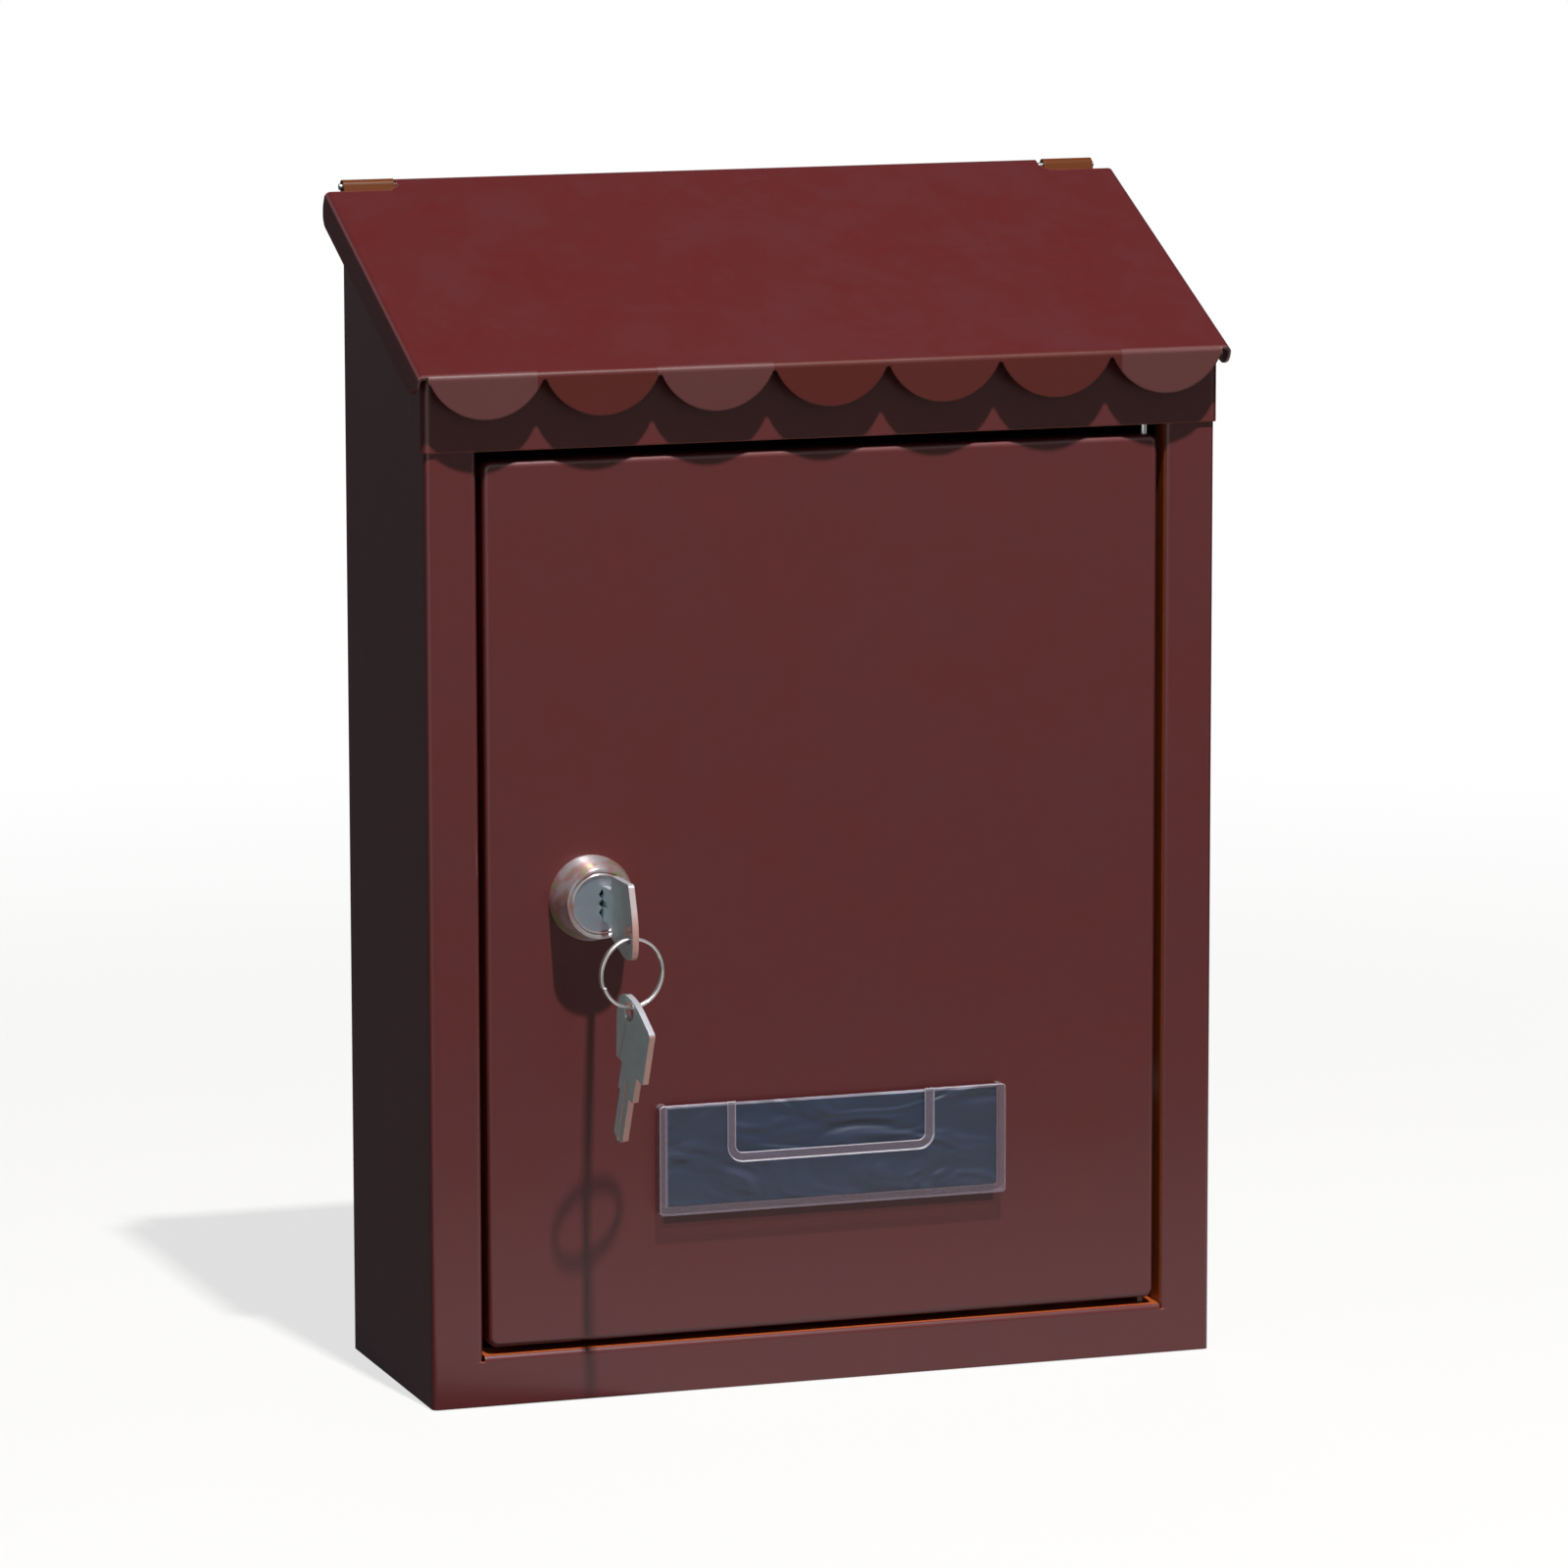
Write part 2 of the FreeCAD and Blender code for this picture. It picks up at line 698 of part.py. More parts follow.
def hexagon(across_flats, y0, y1):
    radius = across_flats / math.sqrt(3.0)
    points = []
    for index in range(6):
        angle = math.radians(60 * index)
        points.append((lock_x + radius * math.cos(angle), lock_height + radius * math.sin(angle)))
    return spread(polygon(in_xz, points), REARWARD, y0, y1)


def lock_nut():
    """Hexagon nut that clamps the door between itself and the bezel."""
    nut = hexagon(nut_across, door_back, door_back + nut_height)
    return nut.cut(rod(barrel_radius + plug_fit, lock_x, lock_height, door_back - 1, door_back + nut_height + 1))


def square_bar(side, y0, y1):
    half = side / 2.0
    return box(lock_x - half, lock_x + half, y0, y1, lock_height - half, lock_height + half)


def keyway():
    """Slot with warded left side, a little wider than the blade."""
    half_high = key_blade_width / 2.0 + keyway_fit
    half_wide = key_sheet / 2.0 + keyway_fit
    right = key_x + half_wide
    left = key_x - half_wide
    step = half_high / 3.0
    points = [(right, lock_height - half_high), (right, lock_height + half_high)]
    for index in range(3):
        top = lock_height + half_high - 2.0 * step * index
        points.append((left, top))
        points.append((left - keyway_ward, top - step))
    points.append((left, lock_height - half_high))
    return spread(polygon(in_xz, points), REARWARD, plug_face - 1, plug_face + keyway_depth)


def lock_plug():
    """Turning core: headed front, warded keyway, square tail with a screw hole."""
    head_floor = plug_face + plug_head
    plug = turned([
        (0, plug_face),
        (plug_head_radius, plug_face),
        (plug_head_radius, head_floor),
        (plug_radius, head_floor),
        (plug_radius, rotor_rear),
        (0, rotor_rear),
    ])
    tail_end = cam_rear - tail_fit
    plug = plug.fuse(square_bar(tail_side, rotor_rear, tail_end))
    plug = plug.cut(keyway())
    depth = screw_length - washer + 1.0
    return plug.cut(rod(screw_shank_radius + screw_fit, lock_x, lock_height, tail_end - depth, tail_end))


def lock_stop_plate():
    """Disc with one lobe that meets the casting's stop at each end of the quarter turn."""
    middle = cam_rest - quarter_turn / 2.0
    disc = rod(stop_disc_radius, lock_x, lock_height, rotor_rear, cam_front)
    lobe = sector(tail_side / 2.0, stop_lobe_radius, middle - stop_lobe_half, middle + stop_lobe_half,
                  rotor_rear, cam_front)
    plate = disc.fuse(lobe)
    return one_solid(plate.cut(square_bar(tail_side + 2 * tail_fit, rotor_rear - 1, cam_front + 1)))


def lock_cam():
    """Flat tongue, upright when unlocked, that turns behind the left jamb."""
    tip_z = lock_height + cam_reach - cam_tip_radius
    boss = rod(cam_boss_radius, lock_x, lock_height, cam_front, cam_rear)
    tip = rod(cam_tip_radius, lock_x, tip_z, cam_front, cam_rear)
    rise = tip_z - lock_height
    lean = math.asin((cam_boss_radius - cam_tip_radius) / rise)
    points = []
    for radius, z in ((cam_boss_radius, lock_height), (cam_tip_radius, tip_z)):
        points.append((lock_x + radius * math.cos(lean), z + radius * math.sin(lean)))
    for radius, z in ((cam_tip_radius, tip_z), (cam_boss_radius, lock_height)):
        points.append((lock_x - radius * math.cos(lean), z + radius * math.sin(lean)))
    blade = spread(polygon(in_xz, points), REARWARD, cam_front, cam_rear)
    cam = boss.fuse([tip, blade])
    return one_solid(cam.cut(square_bar(tail_side + 2 * tail_fit, cam_front - 1, cam_rear + 1)))


def lock_cam_washer():
    disc = rod(washer_radius, lock_x, lock_height, cam_rear, cam_rear + washer)
    return disc.cut(rod(screw_shank_radius + screw_fit, lock_x, lock_height, cam_rear - 1, cam_rear + 2))


def lock_cam_screw():
    """Slotted cheese head screw."""
    seat = cam_rear + washer
    end = seat + screw_head
    screw = turned([
        (0, seat - screw_length),
        (screw_shank_radius, seat - screw_length),
        (screw_shank_radius, seat),
        (screw_head_radius, seat),
        (screw_head_radius, end),
        (0, end),
    ])
    slot = box(lock_x - screw_head_radius, lock_x + screw_head_radius, end - screw_head / 2.0, end + 1,
               lock_height - screw_slot / 2.0, lock_height + screw_slot / 2.0)
    return screw.cut(slot)


def key_blank():
    """Flat key in its own frame: bow end at 0 along Y, hole side towards -Z, thickness along X."""
    collar = key_collar_width / 2.0
    blade = key_blade_width / 2.0
    neck = key_bow_length + key_collar_length
    small = key_corner / 4.0
    corners = [
        (key_hole_setback, -key_bow_hole_side, key_hole_corner),
        (0, -key_crest, key_crest_round),
        (key_plain_setback, key_bow_plain_side, key_corner),
        (key_bow_length, key_bow_plain_side, small),
        (key_bow_length, collar, small),
        (neck, collar, small),
        (neck, blade - key_shoulder_step, 0),
        (key_length - key_tip, blade - key_shoulder_step, 0),
        (key_length, 0, small),
        (key_length - key_tip, -blade, 0),
        (neck, -blade, 0),
        (neck, -collar, small),
        (key_bow_length, -collar, small),
        (key_bow_length, -key_taper_width, small),
        (key_taper_start, -key_bow_hole_side, key_taper_round),
    ]
    spots = [(y, z) for y, z, radius in corners]
    radii = [radius for y, z, radius in corners]
    outline = rounded_polygon(in_yz, spots, radii)
    half = key_sheet / 2.0
    key = spread(outline, ACROSS, -half, half)
    key = key.cut(Part.makeCylinder(key_hole_radius, 2 * key_sheet,
                                    Vector(-key_sheet, key_hole_end, -key_hole_offset), ACROSS))
    groove_start = key_bow_length + key_collar_length / 2.0
    for low, high in ((-half - 1, -half + key_groove), (half - key_groove, half + 1)):
        key = key.cut(box(low, high, groove_start, key_length + 1,
                          -key_groove_width / 2.0, key_groove_width / 2.0))
    return key


def lock_key():
    key = key_blank()
    key.translate(Vector(key_x, key_end_y, lock_height))
    return key


def spare_key():
    """Second key, hanging from the ring with its weight below its hole."""
    key = key_blank()
    key.rotate(Vector(0, 0, 0), REARWARD, 180)
    key.translate(Vector(0, -key_hole_end, -key_hole_offset))
    balance = key.Solids[0].CenterOfMass
    hang = math.degrees(math.atan2(balance.y, -balance.z))
    key.rotate(Vector(0, 0, 0), ACROSS, -hang)
    key.rotate(Vector(0, 0, 0), UP, spare_turn)
    key.translate(Vector(key_x, hole_y, ring_bottom_z - ring_drop))
    return key


def ring_turn(low, high):
    inner = ring_outer_radius - ring_wire_height
    centre_z = ring_top_z - ring_middle_radius
    band = rod(ring_outer_radius, key_x, centre_z, low, high)
    return band.cut(rod(inner, key_x, centre_z, low - 1, high + 1))


def key_ring():
    """Split ring: two turns of flat wire that cross over in one step at the left."""
    half_gap = ring_turn_gap / 2.0
    centre_z = ring_top_z - ring_middle_radius
    front_turn = ring_turn(hole_y - half_gap - ring_wire_width, hole_y - half_gap)
    rear_turn = ring_turn(hole_y + half_gap, hole_y + half_gap + ring_wire_width)
    bridge = box(key_x - ring_outer_radius, key_x - ring_outer_radius + ring_wire_height,
                 hole_y - half_gap, hole_y + half_gap,
                 centre_z - ring_wire_height, centre_z + ring_wire_height)
    bridge = bridge.common(ring_turn(hole_y - half_gap, hole_y + half_gap))
    ring = one_solid(front_turn.fuse([rear_turn, bridge]))
    ring.rotate(Vector(key_x, hole_y, 0), UP, ring_yaw)
    return ring


def name_holder():
    """Clear moulded pocket, open at the top, with a finger notch in its front."""
    spots = [(holder_left, holder_bottom), (holder_right, holder_bottom),
             (holder_right, holder_top), (holder_left, holder_top)]
    body = spread(rounded_polygon(in_xz, spots, [holder_round] * 4), REARWARD, holder_face, holder_back)
    pocket = box(holder_left + holder_wall, holder_right - holder_wall,
                 holder_face + holder_front, holder_back + 1,
                 holder_bottom + holder_wall, holder_top + 1)
    body = body.cut(pocket)
    middle = holder_middle + notch_centre
    floor = holder_bottom + notch_floor
    above = holder_top + notch_round + 1
    border = [(middle - notch_half, floor), (middle + notch_half, floor),
              (middle + notch_half, above), (middle - notch_half, above)]
    radii = [notch_round, notch_round, 0, 0]
    step = spread(rounded_polygon(in_xz, border, radii), REARWARD, holder_face - 1, holder_face + notch_step)
    inside = [(middle - notch_half + notch_border, floor + notch_border),
              (middle + notch_half - notch_border, floor + notch_border),
              (middle + notch_half - notch_border, above), (middle - notch_half + notch_border, above)]
    small = [notch_round - notch_border, notch_round - notch_border, 0, 0]
    window = spread(rounded_polygon(in_xz, inside, small), REARWARD, holder_face - 1,
                    holder_face + holder_front + 1)
    body = body.cut(step).cut(window)
    for x in lug_places():
        half = lug_width / 2.0
        stem = box(x - half, x + half, holder_back - 1, door_back + lug_fit + lug_tooth,
                   holder_bottom, holder_bottom + lug_height)
        tooth = box(x - half, x + half, door_back + lug_fit, door_back + lug_fit + lug_tooth,
                    holder_bottom, holder_bottom + lug_height + lug_tooth)
        body = body.fuse([stem, tooth])
    return one_solid(body)


def name_card():
    """Loose card behind the holder's front."""
    low = holder_bottom + holder_wall + card_gap
    start = holder_face + holder_front + card_gap
    return box(holder_left + holder_wall + card_gap, holder_right - holder_wall - card_gap,
               start, start + card_sheet, low, low + card_height)


def save(name, shape):
    placed = shape.copy()
    placed.translate(Vector(0, 0, -wall_centre_height))
    placed.exportStep("parts/" + name + ".step")
    print(name, "valid", placed.isValid(), "solids", len(placed.Solids), "volume", round(placed.Volume, 1))


save("body_shell", shell_with_holes())
save("back_panel", back_panel())
save("bottom_panel", bottom_panel())
save("front_header", front_header())
save("lid", lid())
save("lid_hinge_wire", lid_hinge_wire())
save("door", door())
save("door_pin_top", door_pin(opening_top + sheet, -1))
save("door_pin_bottom", door_pin(opening_bottom - sheet, 1))
save("lock_body", lock_body())
save("lock_nut", lock_nut())
save("lock_plug", lock_plug())
save("lock_stop_plate", lock_stop_plate())
save("lock_cam", lock_cam())
save("lock_cam_washer", lock_cam_washer())
save("lock_cam_screw", lock_cam_screw())
save("lock_key", lock_key())
save("key_ring", key_ring())
save("spare_key", spare_key())
save("name_holder", name_holder())
save("name_card", name_card())
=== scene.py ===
import math

import bpy
import numpy as np
from mathutils import Matrix, Vector


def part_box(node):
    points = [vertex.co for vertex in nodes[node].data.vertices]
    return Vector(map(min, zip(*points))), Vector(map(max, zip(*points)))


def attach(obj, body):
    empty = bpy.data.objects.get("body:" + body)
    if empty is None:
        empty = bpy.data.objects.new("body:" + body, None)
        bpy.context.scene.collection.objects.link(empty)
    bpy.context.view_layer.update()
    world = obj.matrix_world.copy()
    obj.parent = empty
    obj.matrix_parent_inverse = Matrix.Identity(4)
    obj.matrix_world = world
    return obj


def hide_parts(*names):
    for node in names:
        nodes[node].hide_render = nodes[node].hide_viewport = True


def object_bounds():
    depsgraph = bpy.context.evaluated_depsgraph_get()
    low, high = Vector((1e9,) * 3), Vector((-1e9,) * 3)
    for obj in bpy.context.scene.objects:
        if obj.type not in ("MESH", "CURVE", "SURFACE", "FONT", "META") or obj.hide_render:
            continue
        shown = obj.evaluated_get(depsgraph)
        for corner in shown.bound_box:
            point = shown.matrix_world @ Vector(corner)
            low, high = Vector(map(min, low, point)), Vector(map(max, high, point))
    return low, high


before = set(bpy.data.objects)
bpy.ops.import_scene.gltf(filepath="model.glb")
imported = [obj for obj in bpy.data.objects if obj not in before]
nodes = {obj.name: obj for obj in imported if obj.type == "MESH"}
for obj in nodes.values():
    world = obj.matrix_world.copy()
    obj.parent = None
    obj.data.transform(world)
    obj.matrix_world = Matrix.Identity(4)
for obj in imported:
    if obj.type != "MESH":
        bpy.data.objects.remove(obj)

cad_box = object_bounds()
low_corner, high_corner = cad_box

# Camera. A long lens two metres off looks at the box from a little to the left and above, which
# shows the front, the dark left side and the sloping lid.
view_azimuth = math.radians(-18.631)
view_elevation = math.radians(9.192)
view_roll = math.radians(-0.111)
view_target = Vector((0.00126, -0.03708, 0.00657))
view_distance = 2.0378
lens_mm = 184.2
sensor_mm = 36.0
nearest_seen = 0.05
farthest_seen = 50.0


def direction(azimuth, elevation):
    """Unit vector out of the box's middle: azimuth turns from the front to the right."""
    return Vector((math.sin(azimuth) * math.cos(elevation),
                   -math.cos(azimuth) * math.cos(elevation),
                   math.sin(elevation)))


toward_camera = direction(view_azimuth, view_elevation)
camera_data = bpy.data.cameras.new("camera")
camera_data.lens = lens_mm
camera_data.sensor_width = sensor_mm
camera_data.clip_start = nearest_seen
camera_data.clip_end = farthest_seen
camera = bpy.data.objects.new("camera", camera_data)
bpy.context.scene.collection.objects.link(camera)
camera.rotation_mode = "QUATERNION"
camera.location = view_target + toward_camera * view_distance
turned_to_box = (-toward_camera).to_track_quat("-Z", "Y")
camera.rotation_quaternion = turned_to_box @ Matrix.Rotation(view_roll, 3, "Z").to_quaternion()
bpy.context.scene.camera = camera
bpy.context.scene.view_settings.view_transform = "Standard"

# Floor. A pale seamless sweep that the box stands on. The eye, the metal and the clear plastic see
# it nearly white, and quite white a little way off; what it throws back on the paint is weaker.
white = (1.0, 1.0, 1.0, 1.0)
floor_half = 6.0
floor_drop = 0.0002
floor_level = low_corner.z - floor_drop
floor_seen = "#777674"
floor_thrown = "#6A6967"
floor_lift = 0.72
floor_roughness = 0.9
floor_white_from = 0.35
floor_white_to = 1.00


def linear(code):
    """Linear RGBA of an sRGB hex colour: c/12.92 below 0.04045, else ((c+0.055)/1.055)^2.4."""
    share = np.array([int(code[place:place + 2], 16) for place in (1, 3, 5)]) / 255.0
    rgb = np.where(share <= 0.04045, share / 12.92, ((share + 0.055) / 1.055) ** 2.4)
    return (*rgb.tolist(), 1.0)


def add(tree, kind, inputs=None, **settings):
    """One node with its settings. An input is a value, or the output socket that feeds it."""
    node = tree.nodes.new(kind)
    for name, value in settings.items():
        setattr(node, name, value)
    for name, value in (inputs or {}).items():
        if isinstance(value, bpy.types.NodeSocket):
            tree.links.new(value, node.inputs[name])
        else:
            node.inputs[name].default_value = value
    return node


def new_material(name):
    """An empty node material and its tree."""
    material = bpy.data.materials.new(name)
    material.use_nodes = True
    material.node_tree.nodes.clear()
    return material, material.node_tree


def seen_directly(tree):
    """1 for a ray from the eye, off a mirror or through glass, and 0 for scattered light."""
    path = add(tree, "ShaderNodeLightPath")
    mirrored = add(tree, "ShaderNodeMath", {0: path.outputs["Is Camera Ray"],
                                            1: path.outputs["Is Glossy Ray"]},
                   operation="MAXIMUM")
    return add(tree, "ShaderNodeMath", {0: mirrored.outputs[0],
                                        1: path.outputs["Is Transmission Ray"]},
               operation="MAXIMUM")


def flat_sheet(name, corners, material):
    """One quadrilateral through four corners."""
    mesh = bpy.data.meshes.new(name)
    mesh.from_pydata(corners, [], [(0, 1, 2, 3)])
    mesh.materials.append(material)
    sheet = bpy.data.objects.new(name, mesh)
    bpy.context.scene.collection.objects.link(sheet)
    return sheet


floor_material, tree = new_material("painted_studio_floor")
seen = seen_directly(tree)
floor_colour = add(tree, "ShaderNodeMix", {0: seen.outputs[0], 6: linear(floor_thrown),
                                           7: linear(floor_seen)}, data_type="RGBA")
floor_glow = add(tree, "ShaderNodeMath", {0: seen.outputs[0], 1: floor_lift},
                 operation="MULTIPLY")
floor_shader = add(tree, "ShaderNodeBsdfPrincipled", {
    "Base Color": floor_colour.outputs[2], "Roughness": floor_roughness, "Specular IOR Level": 0.0,
    "Emission Color": white, "Emission Strength": floor_glow.outputs[0]})
floor_place = add(tree, "ShaderNodeTexCoord").outputs["Object"]
floor_reach = add(tree, "ShaderNodeVectorMath", {0: floor_place}, operation="LENGTH")
floor_far = add(tree, "ShaderNodeMapRange", {"Value": floor_reach.outputs["Value"],
                                             "From Min": floor_white_from,
                                             "From Max": floor_white_to},
                interpolation_type="SMOOTHSTEP")
floor_share = add(tree, "ShaderNodeMath", {0: floor_far.outputs[0], 1: seen.outputs[0]},
                  operation="MULTIPLY")
floor_white = add(tree, "ShaderNodeEmission", {"Color": white, "Strength": 1.0})
floor_mixed = add(tree, "ShaderNodeMixShader", {0: floor_share.outputs[0],
                                                1: floor_shader.outputs[0],
                                                2: floor_white.outputs[0]})
add(tree, "ShaderNodeOutputMaterial", {"Surface": floor_mixed.outputs[0]})
flat_sheet("floor", [(-floor_half, -floor_half, floor_level), (floor_half, -floor_half, floor_level),
                     (floor_half, floor_half, floor_level), (-floor_half, floor_half, floor_level)],
           floor_material)

# Flags. Dark cards on both sides of the box and a grey one low in front of it, as photographers use
# them, keep the pale room out of the gloss on the paint, and a pale one on the left draws a line
# along the folds of the lid. Only reflections show them.
flag_away = 0.28
left_x = low_corner.x - flag_away
right_x = high_corner.x + flag_away
flag_lift = 0.0001
flag_level = floor_level + flag_lift
flag_top = 1.2
flag_near = -0.25
flag_rear = 3.0
foot_near = -0.05
band_before_flag = 0.001
band_near, band_far = 0.10, 0.60
band_foot, band_head = 0.30, 0.62
front_left, front_right = -0.45, 1.6
front_far = -1.7
front_gap = 0.15
front_near = low_corner.y - front_gap
front_top = flag_top / 2


def card_material(name, code):
    """Card of one even tone, whatever light falls on it."""
    material, tree = new_material(name)
    tone = add(tree, "ShaderNodeEmission", {"Color": linear(code), "Strength": 1.0})
    add(tree, "ShaderNodeOutputMaterial", {"Surface": tone.outputs[0]})
    return material


def side_card(name, x, near, far, foot, head, material):
    """Upright card beside the box, at one X."""
    return flat_sheet(name, [(x, near, foot), (x, far, foot), (x, far, head), (x, near, head)],
                      material)


dark_card = card_material("dark_card", "#4C4C50")
grey_card = card_material("grey_card", "#8A8987")
pale_card = card_material("pale_card", "#D8D8DC")
flags = (
    side_card("left_flag", left_x, flag_near, flag_rear, flag_level, flag_top, dark_card),
    side_card("left_band", left_x + band_before_flag, band_near, band_far, band_foot, band_head,
              pale_card),
    side_card("right_flag", right_x, flag_near, flag_rear, flag_level, flag_top, dark_card),
    flat_sheet("left_foot", [(left_x, flag_near, flag_level), (0.0, foot_near, flag_level),
                             (0.0, flag_rear, flag_level), (left_x, flag_rear, flag_level)],
               dark_card),
    flat_sheet("front_foot", [(front_left, front_far, flag_level),
                              (front_right, front_far, flag_level),
                              (front_right, front_near, flag_level),
                              (front_left, front_near, flag_level)], grey_card),
    flat_sheet("front_flag", [(front_left, front_far, flag_level),
                              (front_right, front_far, flag_level),
                              (front_right, front_far, front_top),
                              (front_left, front_far, front_top)], grey_card),
)
for flag in flags:
    flag.visible_camera = False
    flag.visible_diffuse = False
    flag.visible_shadow = False
    flag.visible_transmission = False


# Lamps. A small one high in front lights lid and door and throws the crisp shadows of the scallops
# and the lock. Two wide soft ones fill in from the front and from behind.
def soft_box(name, azimuth, elevation, distance, size, watts):
    """Square area lamp on a sphere about the box, facing its middle."""
    lamp = bpy.data.lights.new(name, "AREA")
    lamp.shape = "SQUARE"
    lamp.size = size
    lamp.energy = watts
    out = direction(math.radians(azimuth), math.radians(elevation))
    item = bpy.data.objects.new(name, lamp)
    item.location = view_target + out * distance
    item.rotation_mode = "QUATERNION"
    item.rotation_quaternion = (-out).to_track_quat("-Z", "Y")
    bpy.context.scene.collection.objects.link(item)


soft_box("key_lamp", azimuth=1.0, elevation=64.5, distance=2.4, size=0.07, watts=88.0)
soft_box("front_fill", azimuth=-12.0, elevation=16.0, distance=2.6, size=1.4, watts=2.0)
soft_box("rear_fill", azimuth=165.0, elevation=22.0, distance=2.6, size=1.0, watts=9.0)

# Room. White walls where the eye, a mirror or glass looks into it, under a ceiling that is grey in
# front and dark towards the rear, and a weaker even grey as light.
ceiling_from = math.sin(math.radians(22.0))
ceiling_to = math.sin(math.radians(40.0))
ceiling_front = "#B2B2B4"
ceiling_rear = "#424245"
rear_from = -0.15
rear_to = 0.15
even_light = (0.070, 0.070, 0.074, 1.0)

room = bpy.data.worlds.new("studio_room")
room.use_nodes = True
tree = room.node_tree
tree.nodes.clear()
seen = seen_directly(tree)
looked = add(tree, "ShaderNodeTexCoord").outputs["Generated"]
toward = add(tree, "ShaderNodeSeparateXYZ", {0: looked})
ceiling = add(tree, "ShaderNodeMapRange", {"Value": toward.outputs["Z"],
                                           "From Min": ceiling_from, "From Max": ceiling_to},
              interpolation_type="SMOOTHSTEP")
rearward = add(tree, "ShaderNodeMapRange", {"Value": toward.outputs["Y"], "From Min": rear_from,
                                            "From Max": rear_to},
               interpolation_type="SMOOTHSTEP")
ceiling_tone = add(tree, "ShaderNodeMix", {0: rearward.outputs[0], 6: linear(ceiling_front),
                                           7: linear(ceiling_rear)}, data_type="RGBA")
room_seen = add(tree, "ShaderNodeMix", {0: ceiling.outputs[0], 6: white,
                                        7: ceiling_tone.outputs[2]}, data_type="RGBA")
room_colour = add(tree, "ShaderNodeMix", {0: seen.outputs[0], 6: even_light,
                                          7: room_seen.outputs[2]}, data_type="RGBA")
room_light = add(tree, "ShaderNodeBackground", {"Color": room_colour.outputs[2],
                                                "Strength": 1.0})
add(tree, "ShaderNodeOutputWorld", {"Surface": room_light.outputs[0]})
bpy.context.scene.world = room

# Header and bottom panel: folded steel sheet with a glossy maroon powder coat, sprayed after folding
# and baked. It lies in faint orange peel, varies a little in tone and holds a few dust nibs. On the
# sheet's edges it is painted warm orange, a painted highlight: the light those edges catch.
coat_deep = "#602827"
coat_cool = "#5B2B2E"
orange_edge_highlight = "#A65026"
coat_nib = "#A08078"
coat_ior = 1.5
coat_shine = 0.5
coat_smooth, coat_rough = 0.24, 0.36
tone_patch = 0.030
tone_detail = 9.0
tone_grain = 0.86
tone_from, tone_to = 0.38, 0.68
tone_most = 0.9
nib_pitch = 0.045
nib_radius = 0.00035
nib_strength = 0.6
edge_reach = 0.0006
edge_flat, edge_sharp = 0.98, 0.80
edge_most = 0.8
edge_dulling = 0.5
wave_pitch = 0.030
wave_height = 0.00006
peel_pitch = 0.0018
peel_height = 0.000012


